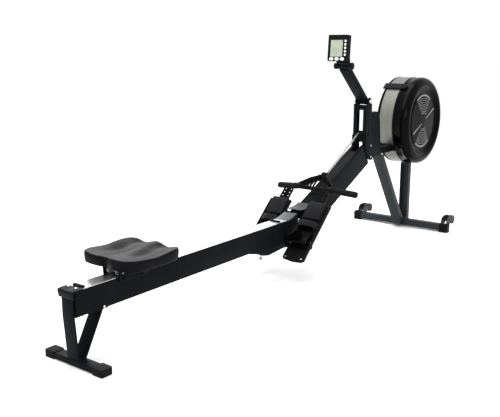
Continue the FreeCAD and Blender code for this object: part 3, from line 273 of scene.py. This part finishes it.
def perforated(name, colour, radius, pitch):
    """Silver sheet with a fine field of dark holes round a cylinder about the Y axis."""
    material, nodes, links, shader = graph(name)
    place = nodes.new("ShaderNodeTexCoord")
    parts = nodes.new("ShaderNodeSeparateXYZ")
    links.new(place.outputs["Object"], parts.inputs["Vector"])

    def sum_of(operation, one, two):
        tool = nodes.new("ShaderNodeMath")
        tool.operation = operation
        for socket, source in zip(tool.inputs, (one, two)):
            if isinstance(source, (int, float)):
                socket.default_value = source
            elif source is not None:
                links.new(source, socket)
        return tool.outputs["Value"]

    angle = sum_of("ARCTAN2", parts.outputs["Z"], parts.outputs["X"])
    round_count = round(FULL * radius / pitch)
    rows = sum_of("SINE", sum_of("MULTIPLY", angle, round_count), None)
    columns = sum_of("SINE", sum_of("MULTIPLY", parts.outputs["Y"], FULL / pitch), None)
    field = sum_of("MULTIPLY", rows, columns)
    hole = sum_of("GREATER_THAN", field, 0.45)
    dark = tuple(part * 0.30 for part in colour)
    cloud = speckle(nodes, links, coordinates(nodes, links, (3, 30, 3)), 2.2, 4)
    light = ramp(nodes, links, cloud, tuple(part * 0.85 for part in colour),
                 tuple(part * 1.12 for part in colour))
    mix = nodes.new("ShaderNodeMix")
    mix.data_type = "RGBA"
    links.new(hole, mix.inputs["Factor"])
    links.new(light, mix.inputs[6])
    mix.inputs[7].default_value = (*dark, 1)
    links.new(mix.outputs[2], shader.inputs["Base Color"])
    links.new(spread(nodes, links, cloud, 0.30, 0.44), shader.inputs["Roughness"])
    shader.inputs["Metallic"].default_value = 0.45
    bump(nodes, links, shader, sum_of("SUBTRACT", 1.0, hole), 0.4, 0.0004)
    return material


def display(name):
    """Grey green display glass with soft banding."""
    material, nodes, links, shader = graph(name)
    vector = coordinates(nodes, links, (1, 1, 1))
    cloud = speckle(nodes, links, vector, 24, 3)
    glass = ramp(nodes, links, cloud, (0.25, 0.29, 0.21), (0.36, 0.40, 0.31))
    links.new(glass, shader.inputs["Base Color"])
    shader.inputs["Roughness"].default_value = 0.14
    shader.inputs["Coat Weight"].default_value = 0.6
    shader.inputs["Coat Roughness"].default_value = 0.04
    bump(nodes, links, shader, cloud, 0.1, 0.00002)
    return material


POWDER = coated("powder_black", (0.0042, 0.0047, 0.0056), 0.42, 1100, 0.00005, gloss=0.030)
LEG_COAT = coated("powder_blue_black", (0.0130, 0.0172, 0.0205), 0.40, 1100, 0.00005, gloss=0.17)
MATTE = coated("matte_plastic", (0.0046, 0.0048, 0.0054), 0.50, 900, 0.00010, gloss=0.06)
GLOSS = coated("gloss_plastic", (0.0016, 0.0017, 0.0019), 0.15, 60, 0.00005, vary=0.12, gloss=0.045)
# Light grey louvre ribs: a painted highlight standing in for the glints on the black ribs.
LOUVRE_HIGHLIGHT = coated("louvre_painted_highlight", (0.2000, 0.2000, 0.1950), 0.36, 60, 0.00003, vary=0.10, gloss=0.30)
# Light grey ridges: a painted highlight standing in for the edge glint on the dark ridges.
RIDGE_HIGHLIGHT = coated("ridge_painted_highlight", (0.34, 0.34, 0.33), 0.34, 80, 0.00003, vary=0.06, gloss=0.40)
RUBBER = coated("rubber", (0.0052, 0.0052, 0.0056), 0.60, 520, 0.00020, gloss=0.06)
SEAT_SKIN = coated("seat_skin", (0.0042, 0.0044, 0.0050), 0.40, 420, 0.00012, vary=0.16, gloss=0.035)
GRIP = coated("grip_rubber", (0.0064, 0.0066, 0.0074), 0.60, 380, 0.00025, gloss=0.06)
FAN = coated("fan_paint", (0.0025, 0.0025, 0.0028), 0.55, 500, 0.00006, gloss=0.03)
BAND = perforated("band_sheet", (0.175, 0.180, 0.155), BAND_RADIUS, 0.0036)
WHITE_KEY = coated("white_key", (0.70, 0.72, 0.71), 0.30, 300, 0.00002, vary=0.04, gloss=0.5)
NYLON = coated("nylon", (0.16, 0.16, 0.16), 0.38, 300, 0.00003, vary=0.06, gloss=0.4)
STEEL_TRACK = brushed("brushed_track", (0.54, 0.53, 0.535), 0.34, (5, 900, 900))
COVER_STEEL = brushed("satin_cover", (0.070, 0.073, 0.078), 0.46, (8, 600, 600))
ZINC = brushed("zinc", (0.72, 0.72, 0.73), 0.28, (300, 300, 300))
NICKEL = brushed("nickel", (0.60, 0.60, 0.58), 0.26, (500, 500, 500))
GROUND = brushed("ground_steel", (0.45, 0.45, 0.46), 0.30, (60, 900, 60))
WEB = woven("webbing", (0.0090, 0.0094, 0.0108), 0.0016)
CORD = woven("braid", (0.02, 0.02, 0.021), 0.0012)
LENS = display("display_glass")

DRESS = {
    "powder_black": POWDER, "stainless": STEEL_TRACK, "bright_cover": COVER_STEEL,
    "matte_black": MATTE, "gloss_black": GLOSS, "rubber_black": RUBBER, "seat_foam": SEAT_SKIN,
    "grip_foam": GRIP, "bolt_zinc": ZINC, "chain_nickel": NICKEL, "band_silver": BAND,
    "fan_black": FAN, "bearing_steel": GROUND, "display_lens": LENS, "button_white": WHITE_KEY,
    "strap_web": WEB, "cord_black": CORD, "castor_tread": RUBBER, "roller_white": NYLON,
}
SLOT_OF = {part["node"]: part["material_slot"] for part in frame["record"]["subparts"]}
BODY_OF = {name: body for body, names in frame["record"]["behaviour"]["bodies"].items() for name in names}


# ---------------------------------------------------------------- softened frame pieces

def softened(node, width, material=None, segments=3):
    """A copy of a frame piece with its long edges rounded, standing in for it."""
    bm = bmesh.new()
    bm.from_mesh(frame["nodes"][node].data)
    bmesh.ops.remove_doubles(bm, verts=bm.verts, dist=0.00002)
    bmesh.ops.dissolve_limit(bm, angle_limit=math.radians(1.0), verts=bm.verts, edges=bm.edges)
    thing = from_bmesh(f"{node}_soft", bm)
    bevel(thing, width, segments, 40)
    apply_modifiers(thing)
    shade_by_angle(thing, 38)
    slot = SLOT_OF[node]
    return finish_piece(thing, BODY_OF[node], slot, material or DRESS[slot], node)


def dress_cad():
    for name, thing in frame["nodes"].items():
        dress(thing, DRESS[SLOT_OF[name]])


# ---------------------------------------------------------------- seat

def bell(distance, width):
    return math.exp(-(distance / width) ** 2)


# How far the soft pad stands past its solid in front and at each side.
SEAT_NOSE = 0.012
SEAT_SIDE = 0.003


def seat_height(along, across):
    """Top of the pad above its lowest face, from -1 to 1 along and across the seat."""
    height = 0.0335
    height += 0.0060 * abs(across) ** 3 + 0.0035 * max(-along, 0) ** 3 + 0.0030 * max(along, 0) ** 4
    height -= 0.0120 * bell(along + 0.12, 0.58) * (bell(across - 0.47, 0.34) + bell(across + 0.47, 0.34))
    height -= 0.0045 * bell(along + 0.05, 0.40) * abs(across) ** 4
    height -= 0.0085 * bell(along - 1.0, 0.45) * (bell(across - 0.48, 0.24) + bell(across + 0.48, 0.24))
    height += 0.0040 * bell(along - 0.85, 0.45) * bell(across, 0.20)
    height -= 0.0040 * bell(along + 1.0, 0.22) * bell(across, 0.14)
    return height


def seat_pad():
    """Moulded pad: two hollows, a centre ridge, a tailbone notch and a rounded front."""
    low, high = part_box("seat_pad")
    centre = (low + high) / 2
    edge = 0.0075
    centre.x += SEAT_NOSE / 2
    half_x = (high.x - low.x + SEAT_NOSE) / 2 - edge
    half_y = (high.y - low.y) / 2 - edge + SEAT_SIDE
    count = 44
    bm = bmesh.new()
    grid = []
    for i in range(count + 1):
        row = []
        for k in range(count + 1):
            u, v = 2 * i / count - 1, 2 * k / count - 1
            reach = (abs(u) ** 6 + abs(v) ** 6) ** (1 / 6)
            scale = max(abs(u), abs(v)) / reach if reach else 1
            u, v = u * scale, v * scale
            x = centre.x + half_x * u + 0.010 * bell(v, 0.17) * max(-u, 0) ** 6
            y = centre.y + half_y * v * (1 - 0.045 * max(u, 0) ** 2)
            row.append(bm.verts.new((x, y, low.z + seat_height(u, v))))
        grid.append(row)
    for i in range(count):
        for k in range(count):
            bm.faces.new((grid[i][k], grid[i + 1][k], grid[i + 1][k + 1], grid[i][k + 1]))
    rim = ([grid[i][0] for i in range(count)] + [grid[count][k] for k in range(count)]
           + [grid[i][count] for i in range(count, 0, -1)] + [grid[0][k] for k in range(count, 0, -1)])
    total = len(rim)
    outward = []
    for i, vert in enumerate(rim):
        run = rim[(i + 1) % total].co - rim[i - 1].co
        outward.append(Vector((run.y, -run.x, 0)).normalized())
    skirt = [(0.0035, 0.0008, 0), (0.0062, 0.0034, 0), (0.0074, 0.0080, 0), (0.0075, 0.0150, 0),
             (0.0070, 0.6, 1), (0.0058, 0.92, 1), (0.0030, 0.985, 1), (-0.004, 1.0, 1)]
    last = rim
    for out, drop, share in skirt:
        ring = []
        for vert, normal in zip(rim, outward):
            top = vert.co.z - low.z
            z = low.z + (top * (1 - drop) if share else top - drop)
            ring.append(bm.verts.new((vert.co.x + normal.x * out, vert.co.y + normal.y * out, z)))
        for i in range(total):
            bm.faces.new((last[i], ring[i], ring[(i + 1) % total], last[(i + 1) % total]))
        last = ring
    bm.faces.new(last)
    pad = from_bmesh("seat_cushion", bm)
    subdivide(pad, 1)
    apply_modifiers(pad)
    shade_by_angle(pad, 60)
    finish_piece(pad, "seat", "seat_foam", SEAT_SKIN, "seat_pad")


# ---------------------------------------------------------------- flywheel housing

def lathe(name, profile, centre, steps=144):
    """Turn a run of (radius, station) points about the Y axis through a centre."""
    bm = bmesh.new()
    rings = []
    for radius, station in profile:
        ring = []
        for k in range(steps):
            angle = FULL * k / steps
            ring.append(bm.verts.new((centre.x + radius * math.cos(angle), centre.y + station,
                                      centre.z + radius * math.sin(angle))))
        rings.append(ring)
    for one, two in zip(rings, rings[1:]):
        for k in range(steps):
            after = (k + 1) % steps
            bm.faces.new((one[k], one[after], two[after], two[k]))
    return from_bmesh(name, bm)


def arc(centre_r, centre_y, radius, first, last, steps):
    """Profile points on a circle, by angle from +radius towards -station."""
    turns = [math.radians(first + (last - first) * k / steps) for k in range(steps + 1)]
    return [(centre_r + radius * math.cos(turn), centre_y - radius * math.sin(turn)) for turn in turns]


def joined(name, things):
    """One mesh from several."""
    bm = bmesh.new()
    for thing in things:
        thing.data.transform(thing.matrix_world)
        bm.from_mesh(thing.data)
        bpy.data.objects.remove(thing)
    mesh = bpy.data.meshes.new(name)
    bm.to_mesh(mesh)
    bm.free()
    return link(name, mesh)


def rounded_bar(name, frame_of, low, high, radius):
    """A bar between two corners of a frame, with softened edges."""
    low, high = Vector(low), Vector(high)
    corners = [Vector((x, y, z)) for x in (low.x, high.x) for y in (low.y, high.y) for z in (low.z, high.z)]
    faces = [(0, 1, 3, 2), (4, 6, 7, 5), (0, 4, 5, 1), (2, 3, 7, 6), (0, 2, 6, 4), (1, 5, 7, 3)]
    thing = mesh_of(name, [frame_of @ corner for corner in corners], faces)
    bevel(thing, radius, 2)
    return apply_modifiers(thing)


def around(angle):
    """A frame on the wheel's axle whose X axis points out at an angle."""
    return Matrix.Translation(WHEEL) @ Matrix.Rotation(-math.radians(angle), 4, "Y")


def in_sector(degrees):
    """Whether an angle lies in the upper or lower louvre sector."""
    return min(abs(degrees - 90), abs(degrees - 270)) < 37


def grille():
    """Louvred cone: thin arcs above and below the hub, plain to the left and right; the arcs in those sectors are
    coloured light grey as a painted highlight.
    """
    ribs, first_rib, rib_pitch, rib_wide = 9, 0.0400, 0.0116, 0.0032
    radii = [0.0002, 0.008, 0.014, 0.024, 0.034]
    hub_rings = len(radii) - 1
    gaps = set()
    for k in range(ribs):
        gaps.add(len(radii) - 1)
        start = first_rib + rib_pitch * k
        radii += [start, start + rib_wide]
    radii += [0.1425]
    steps = 180
    bm = bmesh.new()
    rings = []
    for radius in radii:
        depth = -0.0835 + 0.0060 * (radius / 0.14) + (0.006 if radius < 0.001 else 0)
        ring = []
        for k in range(steps):
            angle = FULL * k / steps
            ring.append(bm.verts.new((WHEEL.x + radius * math.cos(angle), depth,
                                      WHEEL.z + radius * math.sin(angle))))
        rings.append(ring)
    for i in range(len(radii) - 1):
        for k in range(steps):
            degrees = (k + 0.5) * 360 / steps
            spoke = min(abs(degrees - 90), abs(degrees - 270)) < 2.2 * 0.05 / radii[i + 1] * 0.5
            if i in gaps and in_sector(degrees) and not spoke:
                continue
            after = (k + 1) % steps
            face = bm.faces.new((rings[i][k], rings[i][after], rings[i + 1][after], rings[i + 1][k]))
            # Rings in the upper and lower sectors take material 1, the painted highlight of the louvre ribs.
            face.material_index = int(i > hub_rings and in_sector(degrees))
    loose = [vert for vert in bm.verts if not vert.link_faces]
    bmesh.ops.delete(bm, geom=loose, context="VERTS")
    thing = from_bmesh("grille", bm)
    thick = thing.modifiers.new("thick", "SOLIDIFY")
    thick.thickness = 0.004
    thick.offset = -1
    bevel(thing, 0.0005, 1, 50)
    return apply_modifiers(thing)


def intake_cover():
    """Rolled rim, dished ring and louvred cone on the rower's right, with two ridges coloured light grey as a
    painted highlight.
    """
    radius, near = COVER_RADIUS, COVER_NEAR
    outer = ([(radius - 0.004, -0.0091), (radius + 0.0006, -0.0091), (radius + 0.0006, -0.0150),
              (radius - 0.0012, -0.0162), (radius - 0.0012, -0.0480), (radius + 0.0004, -0.0500),
              (radius + 0.0004, -0.0548)]
             + arc(radius - 0.0345, near + 0.0345, 0.0342, 4, 90, 14)
             + [(0.192, -0.0917), (0.186, -0.0902), (0.180, -0.0865), (0.1755, -0.0815), (0.171, -0.0770),
                (0.164, -0.0735), (0.154, -0.0715), (0.147, -0.0712), (0.1432, -0.0728), (0.1415, -0.0765),
                (0.1405, -0.0776)])
    inner = [(r - 0.0028 if r > 0.19 else r, min(y + 0.0035, -0.0092)) for r, y in reversed(outer)]
    shell = lathe("rim", outer + inner[:-1], WHEEL)
    bars = [rounded_bar("ridge", around(angle), (0.030, -0.0852, -0.0013), (0.137, -0.0775, 0.0013), 0.0006)
            for angle in (26, 206)]
    shade_by_angle(shell, 50)
    louvres = shade_by_angle(grille(), 40)
    for bar in bars:
        for face in bar.data.polygons:
            # Material 2: the painted highlight of the ridges.
            face.material_index = 2
    cover = joined("intake_cover", [shell, louvres, *bars])
    tones = [face.material_index for face in cover.data.polygons]
    finish_piece(cover, "frame", "gloss_black", GLOSS, "cage_shell_right")
    # Second material: the painted highlight on the louvre ribs.
    cover.data.materials.append(LOUVRE_HIGHLIGHT)
    # Third material: the painted highlight on the ridges.
    cover.data.materials.append(RIDGE_HIGHLIGHT)
    for face, tone in zip(cover.data.polygons, tones):
        face.material_index = tone


def outlet_band():
    """Silver perforated band between the two covers."""
    inside = BAND_RADIUS - BAND_SHEET
    band = lathe("outlet_band", [(BAND_RADIUS, BAND_NEAR), (BAND_RADIUS, BAND_FAR), (inside, BAND_FAR),
                                 (inside, BAND_NEAR), (BAND_RADIUS, BAND_NEAR)], Vector((0, 0, 0)))
    band.location = WHEEL
    shade_by_angle(band, 40)
    finish_piece(band, "frame", "band_silver", BAND, "perforated_band")


def far_cover():
    """Closed cover on the rower's left."""
    radius, roll = COVER_RADIUS, 0.010
    profile = [(radius - 0.004, 0.0661), (radius, 0.0661), (radius, 0.0740)]
    for degrees in (15, 30, 45, 60, 75, 90):
        turn = math.radians(degrees)
        profile.append((radius - roll + roll * math.cos(turn), 0.074 + roll * math.sin(turn)))
    profile += [(0.200, 0.0842), (0.190, 0.0815), (0.120, 0.0815), (0.112, 0.0842), (0.062, 0.0845),
                (0.052, 0.0860), (0.026, 0.0880), (0.0081, 0.0880), (0.0081, 0.078), (0.060, 0.078),
                (0.200, 0.0785), (radius - 0.007, 0.078), (radius - 0.004, 0.0661)]
    cover = lathe("far_cover", profile, WHEEL)
    shade_by_angle(cover, 40)
    finish_piece(cover, "frame", "gloss_black", GLOSS, "cage_shell_left")


def bridge_screws():
    """A domed screw in the round end of each bridge."""
    steps = 20
    heads = []
    for angle in BRIDGE_ANGLES:
        profile = [(0.0001, 0.0034), (0.0035, 0.0031), (0.0062, 0.0018), (0.0070, 0.0)]
        bm = bmesh.new()
        rings = []
        for radius, rise in profile:
            rings.append([bm.verts.new((BRIDGE_TOP + rise,
                                        BRIDGE_SCREW_Y + radius * math.cos(FULL * k / steps),
                                        radius * math.sin(FULL * k / steps))) for k in range(steps)])
        for one, two in zip(rings, rings[1:]):
            for k in range(steps):
                bm.faces.new((one[k], one[(k + 1) % steps], two[(k + 1) % steps], two[k]))
        head = from_bmesh("screw", bm)
        head.data.transform(around(angle))
        heads.append(head)
    screws = joined("bridge_screws", heads)
    shade_by_angle(screws, 50)
    finish_piece(screws, "frame", "bolt_zinc", POWDER)


# ---------------------------------------------------------------- handle and chain

def sweep(name, path, radii, steps=32, squeeze=1.0, up=Vector((0, 0, 1))):
    """A closed round skin along a run of points, one radius to a point."""
    bm = bmesh.new()
    rings = []
    last = len(path) - 1
    for i, (spot, radius) in enumerate(zip(path, radii)):
        aim = (path[min(i + 1, last)] - path[max(i - 1, 0)]).normalized()
        side = aim.cross(up).normalized()
        top = side.cross(aim).normalized()
        rings.append([bm.verts.new(spot + side * radius * math.cos(FULL * k / steps)
                                   + top * radius * squeeze * math.sin(FULL * k / steps))
                      for k in range(steps)])
    for one, two in zip(rings, rings[1:]):
        for k in range(steps):
            after = (k + 1) % steps
            bm.faces.new((one[k], one[after], two[after], two[k]))
    bm.faces.new(rings[0])
    bm.faces.new(rings[-1])
    thing = from_bmesh(name, bm)
    return shade_by_angle(thing, 40)


# Where a grip starts and ends, and where the yoke takes the chain.
GRIP_IN = Vector((0.1056, 0.099, 0.350))
GRIP_OUT = Vector((0.1256, 0.210, 0.339))
APEX = Vector((0.1936, 0, 0.399))


def grips():
    """Two rubber grips with a flange inside and a domed end outside."""
    things = []
    for sign in (1, -1):
        start = Vector((GRIP_IN.x, sign * GRIP_IN.y, GRIP_IN.z))
        end = Vector((GRIP_OUT.x, sign * GRIP_OUT.y, GRIP_OUT.z))
        run = (end - start).length
        aim = (end - start).normalized()
        marks = [(0.0, 0.0115), (0.0008, 0.0150), (0.0035, 0.0158), (0.0060, 0.0150), (0.0085, 0.0142),
                 (0.030, 0.0140), (0.060, 0.0143), (run - 0.012, 0.0145), (run - 0.007, 0.0140),
                 (run - 0.0035, 0.0124), (run - 0.0012, 0.0094), (run, 0.0050)]
        path = [start + aim * at for at, _ in marks]
        things.append(sweep("grip", path, [radius for _, radius in marks]))
    pair = joined("grips", things)
    finish_piece(pair, "handle", "grip_foam", GRIP, "handle_grips")


def plate_bar(name, start, end, half, low, high, tip=None):
    """An upright rib between two points, half its thickness to each side, with its own heights."""
    run = (end - start).normalized()
    side = Vector((-run.y, run.x, 0)).normalized() * half
    tip = tip or (low, high)
    verts = []
    for spot, (bottom, top) in ((start, (low, high)), (end, tip)):
        for off in (side, -side):
            verts += [spot + off + Vector((0, 0, bottom)), spot + off + Vector((0, 0, top))]
    faces = [(0, 1, 3, 2), (4, 6, 7, 5), (0, 4, 5, 1), (2, 3, 7, 6), (1, 5, 7, 3), (0, 2, 6, 4)]
    thing = mesh_of(name, verts, faces)
    bevel(thing, min(0.0012, half * 0.6), 2)
    return apply_modifiers(thing)


def yoke():
    """Moulded yoke: a bar between the grips, two arms to the chain and upright ribs between."""
    parts = []
    left, right = GRIP_IN.copy(), Vector((GRIP_IN.x, -GRIP_IN.y, GRIP_IN.z))
    parts.append(plate_bar("bar", left, right, 0.0060, -0.011, 0.006))
    for sign in (1, -1):
        root = Vector((GRIP_IN.x, sign * GRIP_IN.y, GRIP_IN.z))
        aim = Vector((GRIP_OUT.x - GRIP_IN.x, sign * (GRIP_OUT.y - GRIP_IN.y), GRIP_OUT.z - GRIP_IN.z))
        aim.normalize()
        path = [root + aim * at for at in (-0.030, -0.022, -0.010, -0.001, 0.004)]
        parts.append(sweep("socket", path, [0.0080, 0.0118, 0.0142, 0.0146, 0.0100]))
        knee = Vector((0.148, sign * 0.052, 0.377))
        parts.append(plate_bar("arm", root + Vector((0.004, 0, 0.001)), knee, 0.0050, -0.011, 0.011,
                               (-0.014, 0.011)))
        parts.append(plate_bar("arm", knee, APEX + Vector((-0.012, sign * 0.010, -0.004)), 0.0050,
                               -0.014, 0.011, (-0.022, 0.007)))
        for share in (0.22, 0.38, 0.54, 0.70, 0.86):
            foot = root.lerp(Vector((GRIP_IN.x, 0, GRIP_IN.z)), share)
            head = root.lerp(APEX + Vector((-0.014, sign * 0.010, 0)), min(share * 0.95 + 0.10, 1))
            parts.append(plate_bar("rib", foot, head, 0.0016, -0.009, 0.004, (-0.012, 0.010)))
    hub = []
    for at, radius in ((-0.024, 0.0105), (-0.0215, 0.0128), (0.006, 0.0128), (0.0102, 0.0112),
                       (0.0125, 0.0070)):
        hub.append((APEX + Vector((-0.008, 0, at)), radius))
    parts.append(sweep("hub", [spot for spot, _ in hub], [radius for _, radius in hub], 28,
                       up=Vector((1, 0, 0))))
    hook = [APEX + Vector((at, 0, 0.004)) for at in (0.0, 0.010, 0.0172, 0.018)]
    parts.append(sweep("hook", hook, [0.0048, 0.0048, 0.0040, 0.0020], 20))
    whole = joined("yoke", parts)
    finish_piece(whole, "handle", SLOT_OF["handle_yoke"], MATTE, "handle_yoke")


def outline_plate(bm, place, length, wide, thick, side):
    """A chain side plate: two round ends and a waist, standing upright."""
    points = []
    for k in range(24):
        angle = FULL * k / 24
        end = 1 if math.cos(angle) > 0 else -1
        pinch = 1 - 0.25 * bell(math.cos(angle), 0.35)
        points.append((end * length / 2 * min(abs(math.cos(angle)) * 3, 1) + wide / 2 * math.cos(angle),
                       wide / 2 * math.sin(angle) * pinch))
    rings = []
    for off in (side - thick / 2, side + thick / 2):
        rings.append([bm.verts.new(place @ Vector((x, off, z))) for x, z in points])
    count = len(points)
    for k in range(count):
        bm.faces.new((rings[0][k], rings[0][(k + 1) % count], rings[1][(k + 1) % count], rings[1][k]))
    bm.faces.new(rings[0])
    bm.faces.new(rings[1])


def chain_links():
    """Roller chain from the yoke to the guide wheel."""
    low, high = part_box("chain")
    start = Vector((low.x + 0.003, 0, low.z + 0.0045))
    end = Vector((high.x - 0.003, 0, high.z - 0.0045))
    run = end - start
    pitch = 0.0127
    count = int(run.length / pitch)
    aim = run.normalized()
    turn = Matrix.Rotation(-math.atan2(aim.z, aim.x), 4, "Y")
    bm = bmesh.new()
    for k in range(count):
        middle = Matrix.Translation(start + aim * (k + 0.5) * run.length / count) @ turn
        side = 0.0034 if k % 2 else 0.0024
        for sign in (1, -1):
            outline_plate(bm, middle, pitch * 0.98, 0.0076, 0.0009, sign * side)
        knuckle = Matrix.Translation(start + aim * k * run.length / count) @ turn
        rings = []
        for across in (-0.0039, 0.0039):
            rings.append([bm.verts.new(knuckle @ Vector((0.0021 * math.cos(FULL * j / 10), across,
                                                         0.0021 * math.sin(FULL * j / 10))))
                          for j in range(10)])
        for j in range(10):
            bm.faces.new((rings[0][j], rings[0][(j + 1) % 10], rings[1][(j + 1) % 10], rings[1][j]))
        bm.faces.new(rings[0])
        bm.faces.new(rings[1])
    links_mesh = from_bmesh("chain_links", bm)
    dress(links_mesh, NICKEL)
    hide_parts("chain")
    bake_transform(links_mesh)


# ---------------------------------------------------------------- camera, lights and floor

def camera():
    eye = bpy.data.cameras.new("eye")
    eye.lens = 51.75
    eye.sensor_width = 36
    thing = bpy.data.objects.new("eye", eye)
    bpy.context.scene.collection.objects.link(thing)
    thing.location = (-2.6067, -1.6994, 0.9768)
    thing.rotation_euler = (math.radians(77.25), 0, math.radians(-52.71))
    bpy.context.scene.camera = thing


def lamp(name, place, target, size, power):
    light = bpy.data.lights.new(name, "AREA")
    light.shape = "RECTANGLE"
    light.size, light.size_y = size
    light.energy = power
    thing = bpy.data.objects.new(name, light)
    thing.location = place
    thing.rotation_euler = (Vector(target) - Vector(place)).to_track_quat("-Z", "Y").to_euler()
    bpy.context.scene.collection.objects.link(thing)


def studio():
    world = bpy.data.worlds.new("studio")
    bpy.context.scene.world = world
    world.use_nodes = True
    world.node_tree.nodes["Background"].inputs["Color"].default_value = (1, 1, 1, 1)
    world.node_tree.nodes["Background"].inputs["Strength"].default_value = 1.05
    lamp("overhead", (-0.2, 0.3, 2.6), (-0.2, 0, 0), (3.6, 1.2), 62)
    lamp("camera_side", (-1.9, -3.0, 1.9), (0, 0, 0.4), (1.6, 1.2), 40)
    lamp("behind", (1.9, 2.9, 2.0), (0.5, 0, 0.5), (2.4, 0.8), 60)
    size = 40
    floor = mesh_of("floor", [(-size, -size, 0), (size, -size, 0), (size, size, 0), (-size, size, 0)],
                    [(0, 1, 2, 3)])
    floor.location.z = -0.0005
    material, nodes, links, shader = graph("floor")
    cloud = speckle(nodes, links, coordinates(nodes, links, (1, 1, 1)), 1.5, 2)
    pale = ramp(nodes, links, cloud, (0.955, 0.955, 0.955), (0.975, 0.975, 0.975))
    links.new(pale, shader.inputs["Base Color"])
    shader.inputs["Roughness"].default_value = 0.9
    dress(floor, material)


camera()
studio()
bpy.context.scene.view_settings.view_transform = "Standard"
dress_cad()

for node, width in (("rail_extrusion", 0.0012), ("rear_leg", 0.0014), ("hinge_cheeks", 0.0010),
                    ("front_leg_rear_strut", 0.0030), ("front_leg_front_strut", 0.0012),
                    ("front_crossbar", 0.0020), ("side_plates", 0.0010), ("monitor_posts", 0.0012),
                    ("monitor_arm", 0.0012), ("main_boom", 0.0012), ("cage_bridges", 0.0028),
                    ("rear_foot_caps", 0.0030), ("front_foot_caps", 0.0045), ("rail_end_cap", 0.0018),
                    ("seat_stops", 0.0015), ("seat_carriage", 0.0008), ("under_bracket", 0.0010),
                    ("hinge_front_cover", 0.0006), ("rail_nose_cover", 0.0007), ("lock_pin", 0.0010),
                    ("monitor_housing", 0.0010), ("monitor_rear_cover", 0.0018),
                    ("monitor_bracket", 0.0020), ("damper_ring", 0.0010), ("frame_bolts", 0.0007),
                    ("rail_bolts", 0.0007), ("footboard_left", 0.0012), ("footboard_right", 0.0012),
                    ("heel_cup_left", 0.0012), ("heel_cup_right", 0.0012), ("toe_straps", 0.0010),
                    ("foot_crossbar", 0.0012), ("transport_wheel_left", 0.0030),
                    ("transport_wheel_right", 0.0030)):
    softened(node, width, LEG_COAT if node.startswith("front_") and "caps" not in node else None)
for key in [name for name in frame["nodes"] if "_button_" in name]:
    softened(key, 0.0016)
seat_pad()
intake_cover()
outlet_band()
far_cover()
bridge_screws()
grips()
yoke()
chain_links()
